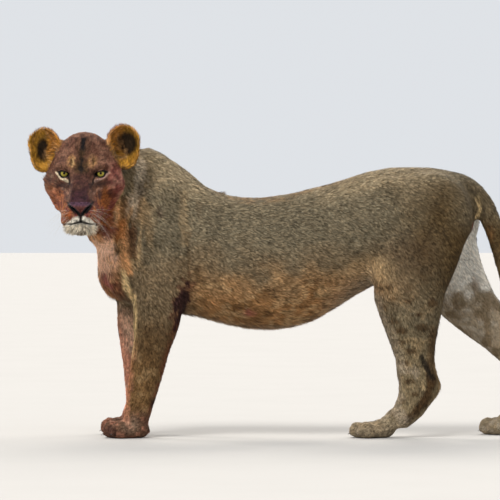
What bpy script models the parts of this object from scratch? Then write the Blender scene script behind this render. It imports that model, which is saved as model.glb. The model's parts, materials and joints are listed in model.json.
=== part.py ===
"""A lioness, life size, standing with her head turned to her left and one hind leg trailing.

Metres, +Z up, floor at Z = 0. She faces -X, so her left side is -Y and her head looks along -Y.
The flesh is lofted and built up from muscle masses, joined to one closed body by a voxel remesh,
and parted with thin cuts into head, neck, trunk, tail and legs.
"""

import math

import bmesh
import bpy
from mathutils import Euler, Matrix, Vector

# Driving sizes, in metres. Heights in the head's frame are over the eyes.
EYE_LINE_HEIGHT = 0.827  # of the eyes' middle above the floor
EYE_RADIUS = 0.0180
EYE_SEGMENTS = 16
EYE_SPACING = 0.113  # between the two eyes' middles
HEAD_PLACE = Vector((-0.644, -0.300, EYE_LINE_HEIGHT))  # the middle between the eyes
HEAD_TURN = math.radians(-2.5)  # left or right of looking along -Y
FORE_FOOT_SPREAD = 0.090  # from the middle line to a fore paw's middle
HIND_FOOT_SPREAD = 0.088
EYE_DEPTH = 0.012  # of the eyes' middles behind the front of the brow
EYE_OPENING = (0.0200, 0.0200, 0.0115)  # half sizes of the almond between the lids
EYE_SLANT = math.radians(-8)  # outer corners up
MOUTH_HEIGHT = -0.140  # over the eyes, at the corners of the mouth
MOUTH_REACH = 0.010  # of the corners of the mouth, forward of the eyes
MOUTH_TILT = math.radians(8)
EAR_WALL = 0.0075
EAR_COLUMNS = 10
EAR_SEAT = {-1: (-0.124, 0.088, 0.080), 1: (0.122, 0.088, 0.090)}  # her right ear, her left
EAR_NOD = math.radians(-8)
EAR_LEAN = math.radians(4)
EAR_TURN = math.radians(16)

# How the surface is made
RING_POINTS = 28  # round each lofted section
STEPS = 3  # interpolated sections between two stated ones
VOXEL = 0.0065  # of the remesh that joins the masses
SMOOTH_TURNS = 6
FLESH_TRIANGLES = 4250  # the parted flesh, before its cut faces are added
HEAD_DETAIL = 0.02  # how strongly the decimation spares the head and the feet
CUT = 0.0004  # gap between two neighbouring parts


# ---------------------------------------------------------------- shapes

def blended(stations, steps=STEPS):
    """The stations, each a tuple of numbers, with smooth ones worked out between them."""
    found = []
    last = len(stations) - 1
    for i in range(last):
        before, a, b, after = (stations[max(0, min(last, k))] for k in (i - 1, i, i + 1, i + 2))
        for step in range(steps):
            t = step / steps
            found.append(tuple(
                0.5 * (2 * q + (r - p) * t + (2 * p - 5 * q + 4 * r - s) * t**2
                       + (3 * q - p - 3 * r + s) * t**3)
                for p, q, r, s in zip(before, a, b, after)))
    found.append(stations[last])
    return found


def ring_points(centre, across, up, down, power):
    """Points round a closed section. up and down are its half axes above and below the centre."""
    points = []
    for k in range(RING_POINTS):
        angle = 2 * math.pi * k / RING_POINTS
        c, s = math.cos(angle), math.sin(angle)
        u = math.copysign(abs(c) ** (2 / power), c)
        v = math.copysign(abs(s) ** (2 / power), s)
        points.append(centre + across * u + (up if v > 0 else down) * v)
    return points


def loft(bm, rings):
    """Bridges the rings, lists of points, into one closed body."""
    loops = []
    for points in rings:
        verts = [bm.verts.new(p) for p in points]
        loops.append([bm.edges.new((a, b)) for a, b in zip(verts, verts[1:] + verts[:1])])
    for a, b in zip(loops, loops[1:]):
        bmesh.ops.bridge_loops(bm, edges=a + b)
    for end in (loops[0], loops[-1]):
        bmesh.ops.contextual_create(bm, geom=end)


def upright_loft(bm, stations, power=2.0):
    """A body along X. A station is x, top, bottom, half width, height of the widest place."""
    rings = []
    for x, top, bottom, half_width, widest in blended(stations):
        rings.append(ring_points(
            Vector((x, 0, widest)), Vector((0, half_width, 0)),
            Vector((0, 0, top - widest)), Vector((0, 0, widest - bottom)), power))
    loft(bm, rings)


def level_loft(bm, stations, power=2.2):
    """A limb of level sections. A station is z, front x, rear x, middle y, half width."""
    rings = []
    for z, front, rear, y, half_width in blended(stations):
        half = Vector(((rear - front) / 2, 0, 0))
        side = Vector((0, half_width, 0))
        rings.append(ring_points(Vector(((front + rear) / 2, y, z)), half, side, side, power))
    loft(bm, rings)


def swept_loft(bm, stations, power=2.0, steps=STEPS):
    """A body square to its own path. A station is x, y, z, half width, half height."""
    found = blended(stations, steps)
    rings = []
    for i, (x, y, z, half_width, half_height) in enumerate(found):
        ahead = Vector(found[min(i + 1, len(found) - 1)][:3])
        behind = Vector(found[max(i - 1, 0)][:3])
        along = (ahead - behind).normalized()
        level = Vector((0, 0, 1)) if abs(along.z) < 0.9 else Vector((1, 0, 0))
        side = along.cross(level).normalized()
        up = side.cross(along).normalized()
        rings.append(ring_points(
            Vector((x, y, z)), side * half_width, up * half_height, up * half_height, power))
    loft(bm, rings)


def mass(bm, centre, radii, turn=(0, 0, 0), place=Matrix.Identity(4)):
    """An ellipsoid of flesh. turn is in degrees about X, Y and Z."""
    shape = (place @ Matrix.Translation(centre)
             @ Euler([math.radians(a) for a in turn]).to_matrix().to_4x4()
             @ Matrix.Diagonal((*radii, 1)))
    bmesh.ops.create_icosphere(bm, subdivisions=3, radius=1, matrix=shape)


def both_sides(bm, centre, radii, turn=(0, 0, 0), place=Matrix.Identity(4), across=0):
    """A mass and its twin. across is the axis that changes sign, 0 for X and 1 for Y."""
    mass(bm, centre, radii, turn, place)
    other = list(centre)
    other[across] *= -1
    turned = [-a for a in turn]
    turned[across] *= -1
    mass(bm, other, radii, turned, place)


# ---------------------------------------------------------------- the masses of flesh

def add_trunk(bm):
    """Barrel, from the breast to the buttocks, with its shoulders, ribs, belly and haunches."""
    upright_loft(bm, [
        # x, top, bottom, half width, height of the widest place
        (-0.590, 0.640, 0.500, 0.070, 0.570),
        (-0.555, 0.760, 0.445, 0.118, 0.590),
        (-0.510, 0.850, 0.418, 0.142, 0.600),
        (-0.460, 0.894, 0.402, 0.150, 0.600),
        (-0.400, 0.884, 0.392, 0.150, 0.590),
        (-0.340, 0.838, 0.382, 0.150, 0.570),
        (-0.280, 0.792, 0.370, 0.157, 0.550),
        (-0.200, 0.757, 0.350, 0.167, 0.530),
        (-0.110, 0.747, 0.334, 0.174, 0.515),
        (-0.020, 0.757, 0.335, 0.173, 0.520),
        (0.060, 0.775, 0.356, 0.164, 0.545),
        (0.140, 0.797, 0.398, 0.152, 0.585),
        (0.220, 0.822, 0.448, 0.141, 0.625),
        (0.300, 0.840, 0.490, 0.136, 0.655),
        (0.380, 0.845, 0.520, 0.134, 0.670),
        (0.460, 0.839, 0.545, 0.122, 0.690),
        (0.530, 0.820, 0.590, 0.098, 0.700),
        (0.580, 0.785, 0.650, 0.055, 0.715),
    ], power=2.15)
    # Shoulder blades, their tips a little above the spine, and the muscle under them
    for side, ahead in ((-1, 0.0), (1, -0.035)):
        mass(bm, (-0.452 + ahead, 0.058 * side, 0.780), (0.074, 0.050, 0.112), (12 * side, 22, 0))
        mass(bm, (-0.430 + ahead, 0.104 * side, 0.660), (0.100, 0.066, 0.165), (8 * side, 16, 0))
        mass(bm, (-0.385 + ahead, 0.120 * side, 0.520), (0.088, 0.056, 0.125), (0, -18, 0))
        mass(bm, (-0.510 + ahead, 0.100 * side, 0.540), (0.066, 0.066, 0.110), (0, 10, 0))
    mass(bm, (-0.540, 0.0, 0.525), (0.075, 0.100, 0.095))
    # Haunches: rump muscle, thigh, and the point of the hip
    for side, back in ((-1, 0.0), (1, 0.030)):
        mass(bm, (0.430 + back, 0.080 * side, 0.690), (0.150, 0.078, 0.140), (6 * side, 10, 0))
        mass(bm, (0.335, 0.078 * side, 0.754), (0.095, 0.050, 0.064), (0, 8, 0))


def add_neck(bm):
    """From between the shoulders, round to her left, to the back of the head."""
    swept_loft(bm, [
        # x, y, z, half width, half height
        (-0.350, 0.000, 0.660, 0.100, 0.120),
        (-0.415, -0.002, 0.688, 0.122, 0.172),
        (-0.485, -0.010, 0.710, 0.122, 0.184),
        (-0.545, -0.040, 0.740, 0.112, 0.162),
        (-0.590, -0.085, 0.770, 0.102, 0.138),
        (-0.622, -0.145, 0.790, 0.098, 0.124),
        (-0.640, -0.205, 0.795, 0.088, 0.104),
    ])
    # Throat, running down to the breast
    mass(bm, (-0.545, -0.040, 0.615), (0.068, 0.082, 0.130), (-8, 12, 0))


# Half outlines of the head, square to its length: how far forward of the eyes, then
# (across, height) from the crown or the nose's bridge, round the cheek, to the throat or chin.
HEAD_SECTIONS = [
    (-0.190, [(0.0, 0.070), (0.044, 0.056), (0.078, 0.016), (0.086, -0.030), (0.064, -0.072), (0.0, -0.092)]),
    (-0.150, [(0.0, 0.118), (0.053, 0.100), (0.094, 0.042), (0.110, -0.030), (0.082, -0.092), (0.0, -0.120)]),
    (-0.110, [(0.0, 0.134), (0.056, 0.115), (0.096, 0.056), (0.124, -0.036), (0.097, -0.104), (0.0, -0.134)]),
    (-0.070, [(0.0, 0.120), (0.052, 0.105), (0.090, 0.051), (0.125, -0.038), (0.100, -0.110), (0.0, -0.143)]),
    (-0.035, [(0.0, 0.087), (0.047, 0.079), (0.082, 0.034), (0.114, -0.042), (0.092, -0.116), (0.0, -0.151)]),
    (-0.008, [(0.0, 0.057), (0.041, 0.051), (0.073, 0.012), (0.101, -0.052), (0.084, -0.122), (0.0, -0.158)]),
    (0.012, [(0.0, 0.031), (0.032, 0.027), (0.058, -0.012), (0.084, -0.064), (0.075, -0.130), (0.0, -0.165)]),
    (0.030, [(0.0, 0.006), (0.027, 0.001), (0.046, -0.036), (0.070, -0.084), (0.067, -0.138), (0.0, -0.172)]),
    (0.047, [(0.0, -0.018), (0.028, -0.023), (0.044, -0.058), (0.066, -0.102), (0.061, -0.148), (0.0, -0.180)]),
    (0.063, [(0.0, -0.041), (0.031, -0.046), (0.045, -0.078), (0.066, -0.116), (0.055, -0.158), (0.0, -0.187)]),
    (0.078, [(0.0, -0.062), (0.034, -0.067), (0.045, -0.094), (0.062, -0.124), (0.049, -0.164), (0.0, -0.189)]),
    (0.090, [(0.0, -0.079), (0.031, -0.084), (0.039, -0.102), (0.050, -0.128), (0.038, -0.157), (0.0, -0.177)]),
    (0.100, [(0.0, -0.094), (0.019, -0.098), (0.024, -0.110), (0.028, -0.128), (0.019, -0.142), (0.0, -0.149)]),
]


def round_outline(half):
    """The whole outline from its half, mirrored, as a smooth closed ring of RING_POINTS points."""
    corners = half + [(-x, z) for x, z in reversed(half[1:-1])]
    count = len(corners)
    points = []
    for k in range(RING_POINTS):
        at = k * count / RING_POINTS
        i, t = int(at), at - int(at)
        p, q, r, s = (corners[(i + j) % count] for j in (-1, 0, 1, 2))
        points.append(tuple(
            0.5 * (2 * b + (c - a) * t + (2 * a - 5 * b + 4 * c - d) * t**2
                   + (3 * b - a - 3 * c + d) * t**3)
            for a, b, c, d in zip(p, q, r, s)))
    return points


def add_head(bm, place):
    """Skull, cheeks and muzzle, in the head's own frame: x across, -y forward, z up from the eyes."""
    stations = []
    for forward, half in HEAD_SECTIONS:
        outline = round_outline(half)
        stations.append((forward, *(number for point in outline for number in point)))
    rings = []
    for station in blended(stations):
        pairs = zip(station[1::2], station[2::2])
        rings.append([place @ Vector((x, -station[0], z)) for x, z in pairs])
    loft(bm, rings)
    # Brow ridges and the muscles of the jaw
    both_sides(bm, (0.050, 0.019, 0.024), (0.037, 0.027, 0.020), (0, 14, 14), place)
    both_sides(bm, (0.078, 0.080, -0.054), (0.046, 0.064, 0.058), (0, 12, 0), place)
    # Whisker pads, nose and chin
    both_sides(bm, (0.034, -0.060, -0.123), (0.033, 0.035, 0.028), (6, 0, 22), place)
    mass(bm, (0, -0.080, -0.098), (0.036, 0.024, 0.022), (40, 0, 0), place)
    mass(bm, (0, -0.056, -0.165), (0.042, 0.036, 0.024), place=place)


def head_frame():
    """The head's place and turn."""
    return Matrix.Translation(HEAD_PLACE) @ Matrix.Rotation(HEAD_TURN, 4, "Z")


EAR_STATIONS = [
    # height over the ear's middle, half width, depth of the cup, outward, forward
    (-0.074, 0.008, 0.010, 0.012, -0.012),
    (-0.062, 0.027, 0.036, 0.011, -0.007),
    (-0.038, 0.042, 0.053, 0.006, 0.000),
    (-0.005, 0.052, 0.056, 0.000, 0.002),
    (0.024, 0.054, 0.048, -0.001, 0.000),
    (0.045, 0.046, 0.034, 0.001, -0.006),
    (0.058, 0.031, 0.019, 0.003, -0.012),
    (0.065, 0.012, 0.007, 0.004, -0.016),
]


def ear_shape(side):
    """A cupped ear, its open front turned forward and a little out. side is 1 for her left."""
    bm = bmesh.new()
    rows = []
    for height, half_width, depth, outward, forward in EAR_STATIONS:
        row = []
        for k in range(EAR_COLUMNS + 1):
            angle = math.pi * (k / EAR_COLUMNS - 0.5)
            row.append(bm.verts.new((
                half_width * math.sin(angle) + outward * side, depth * math.cos(angle) - forward, height)))
        rows.append(row)
    for low, high in zip(rows, rows[1:]):
        for k in range(EAR_COLUMNS):
            bm.faces.new((low[k], low[k + 1], high[k + 1], high[k]))
    bmesh.ops.recalc_face_normals(bm, faces=bm.faces)
    bm.normal_update()
    bmesh.ops.solidify(bm, geom=bm.faces[:], thickness=EAR_WALL)
    seat = Matrix.Translation(EAR_SEAT[side]) @ Euler(
        (EAR_NOD, EAR_LEAN * side, EAR_TURN * side)).to_matrix().to_4x4()
    bmesh.ops.transform(bm, verts=bm.verts, matrix=head_frame() @ seat)
    return bm


def add_paw(bm, toe_tip, y, length, width, height):
    """A paw on the floor, its toes towards -X: four toes, the pad behind them and the wrist side."""
    toe = width * 0.215
    for k, (across, set_back) in enumerate(((-0.37, 0.030), (-0.125, 0.004), (0.125, 0.004), (0.37, 0.030))):
        centre = (toe_tip + toe * 1.25 + set_back, y + across * width, height * 0.44)
        mass(bm, centre, (toe * 1.30, toe * 1.02, height * 0.56), (0, 10, 0))
    mass(bm, (toe_tip + length * 0.62, y, height * 0.45), (length * 0.42, width * 0.46, height * 0.62))


def add_legs(bm):
    """Both forelegs side by side, the left hind leg under her and the right one behind."""
    y = -FORE_FOOT_SPREAD
    level_loft(bm, [
        # z, front x, rear x, middle y, half width
        (0.560, -0.500, -0.320, -0.110, 0.062),
        (0.480, -0.500, -0.322, -0.112, 0.060),
        (0.425, -0.497, -0.326, -0.112, 0.058),
        (0.370, -0.495, -0.340, -0.110, 0.055),
        (0.310, -0.492, -0.362, -0.106, 0.050),
        (0.240, -0.504, -0.386, -0.100, 0.045),
        (0.170, -0.512, -0.405, -0.096, 0.042),
        (0.110, -0.518, -0.424, -0.092, 0.042),
        (0.060, -0.525, -0.440, y, 0.044),
        (0.025, -0.535, -0.452, y, 0.044),
    ])
    add_paw(bm, -0.592, y, 0.150, 0.112, 0.054)
    y = FORE_FOOT_SPREAD
    level_loft(bm, [
        (0.560, -0.548, -0.380, 0.105, 0.062),
        (0.480, -0.556, -0.380, 0.108, 0.060),
        (0.425, -0.558, -0.390, 0.108, 0.057),
        (0.370, -0.554, -0.405, 0.106, 0.054),
        (0.310, -0.546, -0.415, 0.102, 0.050),
        (0.240, -0.536, -0.418, 0.098, 0.045),
        (0.170, -0.528, -0.420, 0.095, 0.042),
        (0.110, -0.524, -0.430, 0.092, 0.042),
        (0.060, -0.535, -0.450, y, 0.044),
        (0.025, -0.548, -0.465, y, 0.044),
    ])
    add_paw(bm, -0.606, y, 0.150, 0.112, 0.054)
    # Left hind leg
    y = -HIND_FOOT_SPREAD
    level_loft(bm, [
        (0.680, 0.300, 0.570, -0.085, 0.070),
        (0.600, 0.275, 0.548, -0.095, 0.078),
        (0.530, 0.258, 0.522, -0.102, 0.080),
        (0.460, 0.254, 0.492, -0.105, 0.075),
        (0.400, 0.270, 0.478, -0.105, 0.066),
        (0.340, 0.293, 0.466, -0.102, 0.056),
        (0.280, 0.315, 0.456, -0.098, 0.047),
        (0.230, 0.333, 0.456, -0.095, 0.042),
        (0.190, 0.345, 0.468, -0.093, 0.040),
        (0.165, 0.347, 0.477, -0.092, 0.039),
        (0.135, 0.344, 0.466, -0.091, 0.038),
        (0.100, 0.332, 0.440, -0.090, 0.038),
        (0.065, 0.302, 0.412, y, 0.039),
        (0.030, 0.262, 0.370, y, 0.042),
    ])
    add_paw(bm, 0.182, y, 0.145, 0.104, 0.050)
    # Right hind leg, trailing: thigh, stifle, hock and foot
    y = HIND_FOOT_SPREAD
    level_loft(bm, [
        (0.700, 0.330, 0.590, 0.085, 0.068),
        (0.620, 0.335, 0.598, 0.095, 0.076),
        (0.540, 0.375, 0.617, 0.102, 0.078),
        (0.470, 0.415, 0.646, 0.106, 0.074),
        (0.420, 0.450, 0.674, 0.106, 0.070),
        (0.375, 0.484, 0.708, 0.105, 0.064),
        (0.335, 0.532, 0.742, 0.102, 0.056),
        (0.295, 0.588, 0.776, 0.100, 0.048),
        (0.260, 0.632, 0.804, 0.097, 0.042),
        (0.228, 0.668, 0.828, 0.095, 0.038),
        (0.198, 0.712, 0.834, 0.094, 0.038),
        (0.168, 0.732, 0.820, 0.093, 0.037),
        (0.138, 0.724, 0.802, 0.092, 0.036),
        (0.098, 0.697, 0.772, 0.090, 0.036),
        (0.055, 0.664, 0.742, y, 0.039),
        (0.020, 0.640, 0.720, y, 0.042),
    ])
    add_paw(bm, 0.600, y, 0.145, 0.104, 0.054)


TAIL_PATH = [
    # x, y, z, half width, half height
    (0.520, 0.000, 0.790, 0.050, 0.040),
    (0.572, -0.002, 0.776, 0.042, 0.038),
    (0.616, -0.006, 0.724, 0.037, 0.037),
    (0.652, -0.012, 0.632, 0.032, 0.033),
    (0.676, -0.020, 0.528, 0.025, 0.026),
    (0.696, -0.028, 0.427, 0.022, 0.022),
    (0.724, -0.036, 0.320, 0.019, 0.019),
    (0.764, -0.042, 0.238, 0.018, 0.018),
    (0.808, -0.046, 0.196, 0.022, 0.022),
    (0.850, -0.048, 0.186, 0.028, 0.028),
    (0.892, -0.048, 0.202, 0.022, 0.022),
    (0.920, -0.048, 0.222, 0.008, 0.008),
]


def add_tail(bm):
    """Down from the rump, hanging, with its tip curled back."""
    swept_loft(bm, TAIL_PATH, steps=4)


# ---------------------------------------------------------------- objects

def material(name, colour, roughness):
    """A plain Principled material."""
    made = bpy.data.materials.new(name)
    made.use_nodes = True
    shader = made.node_tree.nodes["Principled BSDF"]
    shader.inputs["Base Color"].default_value = (*colour, 1)
    shader.inputs["Roughness"].default_value = roughness
    return made


def new_object(name, mesh, finish=None):
    """An object in the scene that holds this mesh."""
    obj = bpy.data.objects.new(name, mesh)
    bpy.context.scene.collection.objects.link(obj)
    if finish:
        mesh.materials.clear()
        mesh.materials.append(finish)
    return obj


def helper(obj):
    """Leaves a cutter or a mould out of the model."""
    obj.hide_render = True
    obj.display_type = "WIRE"
    return obj


def from_bmesh(name, bm, finish=None):
    """An object from a bmesh, with its faces pointing out."""
    bmesh.ops.recalc_face_normals(bm, faces=bm.faces)
    mesh = bpy.data.meshes.new(name)
    bm.to_mesh(mesh)
    bm.free()
    return new_object(name, mesh, finish)


def evaluated_mesh(obj):
    """The object's mesh with its modifiers applied."""
    graph = bpy.context.evaluated_depsgraph_get()
    graph.update()
    return bpy.data.meshes.new_from_object(obj.evaluated_get(graph))


def boolean(obj, cutter, operation):
    """Adds an exact Boolean to the object."""
    step = obj.modifiers.new(operation.lower() + "_" + cutter.name, "BOOLEAN")
    step.operation = operation
    step.solver = "EXACT"
    step.object = cutter
    return step


def box(name, low, high, turn=None, centre=None):
    """A helper box from its corners. turn is a rotation about centre."""
    bm = bmesh.new()
    size = Vector(high) - Vector(low)
    middle = (Vector(high) + Vector(low)) / 2
    bmesh.ops.create_cube(bm, size=1, matrix=Matrix.Translation(middle) @ Matrix.Diagonal((*size, 1)))
    if turn is not None:
        bmesh.ops.rotate(bm, verts=bm.verts, cent=centre, matrix=turn.to_matrix())
    return helper(from_bmesh(name, bm))


# ---------------------------------------------------------------- flesh

SEAMS = [
    # centre, normal, extent to each side and extent up the slab
    ((-0.645, -0.150, 0.800), (0.30, 1.00, 0.20), 0.340, 0.420),  # back of the head
    ((-0.535, -0.010, 0.730), (0.862, 0.360, -0.330), 0.520, 0.520),  # base of the neck
    ((-0.250, 0.0, 0.580), (1, 0, 0), 0.500, 0.500),  # behind the shoulders
    ((0.200, 0.0, 0.620), (1, 0, 0), 0.500, 0.500),  # in front of the haunches
    ((-0.440, 0.0, 0.372), (0, 0, 1), 0.270, 0.500),  # forearms
    ((-0.490, 0.0, 0.085), (0, 0, 1), 0.240, 0.400),  # fore paws
    ((0.380, -0.115, 0.445), (0, 0, 1), 0.300, 0.200),  # left hind leg
    ((0.545, 0.120, 0.445), (0, 0, 1), 0.350, 0.200),  # right hind leg
    ((0.365, -0.090, 0.082), (0, 0, 1), 0.250, 0.160),  # left hind paw
    ((0.735, 0.090, 0.082), (0, 0, 1), 0.220, 0.160),  # right hind paw
    ((0.660, -0.012, 0.625), (-0.33, 0.05, 0.93), 0.100, 0.100),  # root of the tail
    ((0.696, -0.028, 0.427), (-0.22, 0.06, 0.97), 0.080, 0.080),  # middle of the tail
    ((0.764, -0.042, 0.238), (-0.50, 0.05, 0.85), 0.080, 0.080),  # tuft of the tail
]


PIECES = {
    # node name: a point near its middle
    "neck": (-0.600, -0.080, 0.760),
    "chest": (-0.420, 0.0, 0.600),
    "belly": (-0.020, 0.0, 0.560),
    "haunches": (0.400, 0.0, 0.650),
    "foreleg_left": (-0.450, -0.100, 0.230),
    "foreleg_right": (-0.480, 0.100, 0.230),
    "fore_paw_left": (-0.510, -0.090, 0.040),
    "fore_paw_right": (-0.530, 0.090, 0.040),
    "hind_leg_left": (0.390, -0.100, 0.270),
    "hind_leg_right": (0.650, 0.100, 0.270),
    "hind_paw_left": (0.290, -0.090, 0.040),
    "hind_paw_right": (0.680, 0.090, 0.040),
    "tail_root": (0.680, -0.020, 0.530),
    "tail_middle": (0.720, -0.035, 0.340),
    "tail_tuft": (0.850, -0.047, 0.200),
    "head": (-0.644, -0.290, 0.800),
}


def build_flesh():
    """All the flesh but the ears as one closed mesh, coarser on the trunk than on head and feet."""
    bm = bmesh.new()
    add_trunk(bm)
    add_neck(bm)
    add_head(bm, head_frame())
    add_legs(bm)
    add_tail(bm)
    masses = helper(from_bmesh("flesh_masses", bm))
    join = masses.modifiers.new("join", "REMESH")
    join.mode = "VOXEL"
    join.voxel_size = VOXEL
    soften = masses.modifiers.new("soften", "SMOOTH")
    soften.factor = 0.5
    soften.iterations = SMOOTH_TURNS
    flesh = helper(new_object("flesh", evaluated_mesh(masses)))
    spared = flesh.vertex_groups.new(name="spared")
    for vertex in flesh.data.vertices:
        if (vertex.co - HEAD_PLACE).length < 0.24:
            spared.add([vertex.index], 0.9, "REPLACE")
        elif vertex.co.z < 0.075:
            spared.add([vertex.index], 0.5, "REPLACE")
    thin = flesh.modifiers.new("thin", "DECIMATE")
    thin.vertex_group = spared.name
    thin.invert_vertex_group = True
    thin.vertex_group_factor = HEAD_DETAIL
    triangles = sum(len(polygon.vertices) - 2 for polygon in flesh.data.polygons)
    thin.ratio = FLESH_TRIANGLES / triangles
    return helper(new_object("thinned_flesh", evaluated_mesh(flesh)))


def seam_slabs():
    """The thin slabs that part the flesh, as one helper."""
    bm = bmesh.new()
    for centre, normal, width, height in SEAMS:
        across = Vector(normal).normalized().to_track_quat("Z", "Y").to_matrix().to_4x4()
        bmesh.ops.create_cube(bm, size=1, matrix=(
            Matrix.Translation(centre) @ across @ Matrix.Diagonal((width, height, CUT, 1))))
    return helper(from_bmesh("seam_slabs", bm))


def islands(mesh):
    """The mesh's separate bodies, each as a bmesh of its own."""
    whole = bmesh.new()
    whole.from_mesh(mesh)
    waiting = set(whole.verts)
    found = []
    while waiting:
        front = [waiting.pop()]
        body = set(front)
        while front:
            for edge in front.pop().link_edges:
                for vertex in edge.verts:
                    if vertex in waiting:
                        waiting.remove(vertex)
                        body.add(vertex)
                        front.append(vertex)
        part = whole.copy()
        part.verts.ensure_lookup_table()
        kept = {vertex.index for vertex in body}
        bmesh.ops.delete(part, geom=[v for v in part.verts if v.index not in kept], context="VERTS")
        found.append(part)
    whole.free()
    return found


def part_flesh(flesh, coat):
    """Cuts the flesh at the floor and at its seams into the named pieces."""
    whole = helper(new_object("parted_flesh", flesh.data.copy()))
    boolean(whole, box("under_floor", (-2, -1, -0.5), (2, 1, 0)), "DIFFERENCE")
    boolean(whole, seam_slabs(), "DIFFERENCE").use_self = True
    pieces = {}
    for bm in islands(evaluated_mesh(whole)):
        middle = sum((vertex.co for vertex in bm.verts), Vector()) / len(bm.verts)
        name = min(PIECES, key=lambda key: (Vector(PIECES[key]) - middle).length)
        if name in pieces:
            raise ValueError(f"two bodies of flesh for {name}: {tuple(middle)}")
        pieces[name] = from_bmesh(name, bm, coat)
    return pieces


# ---------------------------------------------------------------- head

def eye_shape(side, grow=0.0):
    """An eyeball. side is 1 for her left."""
    bm = bmesh.new()
    place = head_frame() @ Matrix.Translation((EYE_SPACING / 2 * side, EYE_DEPTH, 0))
    bmesh.ops.create_uvsphere(
        bm, u_segments=EYE_SEGMENTS, v_segments=EYE_SEGMENTS // 2 + 1, radius=EYE_RADIUS + grow,
        matrix=place @ Matrix.Rotation(math.radians(90), 4, "X"))
    return bm


def eye_opening(side):
    """The almond between the lids, reaching in to the eyeball."""
    bm = bmesh.new()
    place = (head_frame() @ Matrix.Translation((EYE_SPACING / 2 * side, -0.012, 0.0005))
             @ Matrix.Rotation(EYE_SLANT * side, 4, "Y") @ Matrix.Diagonal((*EYE_OPENING, 1)))
    bmesh.ops.create_uvsphere(bm, u_segments=16, v_segments=10, radius=1, matrix=place)
    return bm


NOSE_STATIONS = [
    # height over the eyes, half width, front, back
    (-0.085, 0.026, 0.086, 0.060),
    (-0.092, 0.036, 0.098, 0.060),
    (-0.102, 0.038, 0.106, 0.062),
    (-0.113, 0.032, 0.107, 0.066),
    (-0.123, 0.020, 0.104, 0.070),
    (-0.132, 0.007, 0.100, 0.074),
]


def nose_shape(grow=0.0):
    """The nose leather, as wide as the nostrils and pointed below."""
    bm = bmesh.new()
    rings = []
    for height, half_width, front, back in NOSE_STATIONS:
        centre = Vector((0, -(front + back) / 2, height))
        depth = Vector((0, (front - back) / 2 + grow, 0))
        rings.append(ring_points(centre, Vector((half_width + grow, 0, 0)), depth, depth, 2.6))
    loft(bm, rings)
    stretch = 1 + grow / 0.02
    bmesh.ops.scale(bm, verts=bm.verts, vec=(1, 1, stretch), space=Matrix.Translation((0, 0, 0.110)))
    bmesh.ops.transform(bm, verts=bm.verts, matrix=head_frame())
    return bm


def mouth_box(grow):
    """A box below the mouth line, from its corners forward, which takes in the lower jaw."""
    bm = bmesh.new()
    corners = head_frame() @ Matrix.Translation((0, -MOUTH_REACH, MOUTH_HEIGHT))
    size = Matrix.Diagonal((0.3, 0.2 + 2 * grow, 0.2 + 2 * grow, 1))
    bmesh.ops.create_cube(bm, size=1, matrix=(
        corners @ Matrix.Rotation(MOUTH_TILT, 4, "X") @ Matrix.Translation((0, -0.1, -0.1)) @ size))
    return bm


def build_head(head, coat, leather, eye):
    """Sockets, eyes, nose and lower jaw, cut from the head and from one another."""
    for side, name in ((1, "left"), (-1, "right")):
        boolean(head, helper(from_bmesh(f"socket_{name}", eye_shape(side, CUT))), "DIFFERENCE")
        boolean(head, helper(from_bmesh(f"lids_{name}", eye_opening(side))), "DIFFERENCE")
        from_bmesh(f"eye_{name}", eye_shape(side), eye)
    boolean(head, helper(from_bmesh("nose_bed", nose_shape(CUT))), "DIFFERENCE")
    from_bmesh("nose", nose_shape(), leather)
    upper = new_object("head", evaluated_mesh(head), coat)
    jaw = new_object("lower_jaw", upper.data.copy())
    for obj, operation, grow in ((upper, "DIFFERENCE", CUT), (jaw, "INTERSECT", 0.0)):
        boolean(obj, helper(from_bmesh(f"mouth_{operation.lower()}", mouth_box(grow))), operation)
        obj.data = evaluated_mesh(obj)
        obj.modifiers.clear()


def build_ears(flesh, coat):
    """Both ears, seated on the head with a thin gap."""
    grown = helper(new_object("grown_flesh", flesh.data.copy()))
    swell = grown.modifiers.new("swell", "DISPLACE")
    swell.mid_level = 0.0
    swell.strength = CUT
    for side, name in ((1, "left"), (-1, "right")):
        ear = helper(from_bmesh(f"whole_ear_{name}", ear_shape(side)))
        boolean(ear, grown, "DIFFERENCE")
        bodies = sorted(islands(evaluated_mesh(ear)), key=lambda bm: bm.calc_volume())
        from_bmesh(f"ear_{name}", bodies[-1], coat)
        for scrap in bodies[:-1]:
            scrap.free()


# ---------------------------------------------------------------- whole

def stand_in_middle(nodes):
    """Moves the whole so that its box is centred over the origin, on the floor."""
    points = [vertex.co for obj in nodes for vertex in obj.data.vertices]
    low = Vector([min(point[k] for point in points) for k in range(3)])
    high = Vector([max(point[k] for point in points) for k in range(3)])
    shift = Matrix.Translation((-(low.x + high.x) / 2, -(low.y + high.y) / 2, -low.z))
    for obj in nodes:
        obj.data.transform(shift)


def main():
    """Builds the whole animal."""
    for obj in list(bpy.data.objects):
        bpy.data.objects.remove(obj)
    coat = material("lion_coat", (0.42, 0.31, 0.19), 0.85)
    leather = material("nose_leather", (0.10, 0.06, 0.06), 0.5)
    eye = material("eye", (0.45, 0.42, 0.10), 0.1)
    flesh = build_flesh()
    pieces = part_flesh(flesh, coat)
    whole_head = helper(pieces.pop("head"))
    whole_head.name = "whole_head"
    build_head(whole_head, coat, leather, eye)
    build_ears(flesh, coat)
    stand_in_middle([obj for obj in bpy.data.objects if not obj.hide_render])


if __name__ == "__main__":
    main()
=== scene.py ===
"""A standing lioness: one skin in her short coat, with her eyes, whiskers and claws."""

from __future__ import annotations

import json
import logging
import math
from dataclasses import dataclass, field, fields
from enum import Enum

import bmesh
import bpy
import numpy as np
from mathutils import Matrix, Vector
from mathutils.bvhtree import BVHTree

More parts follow.
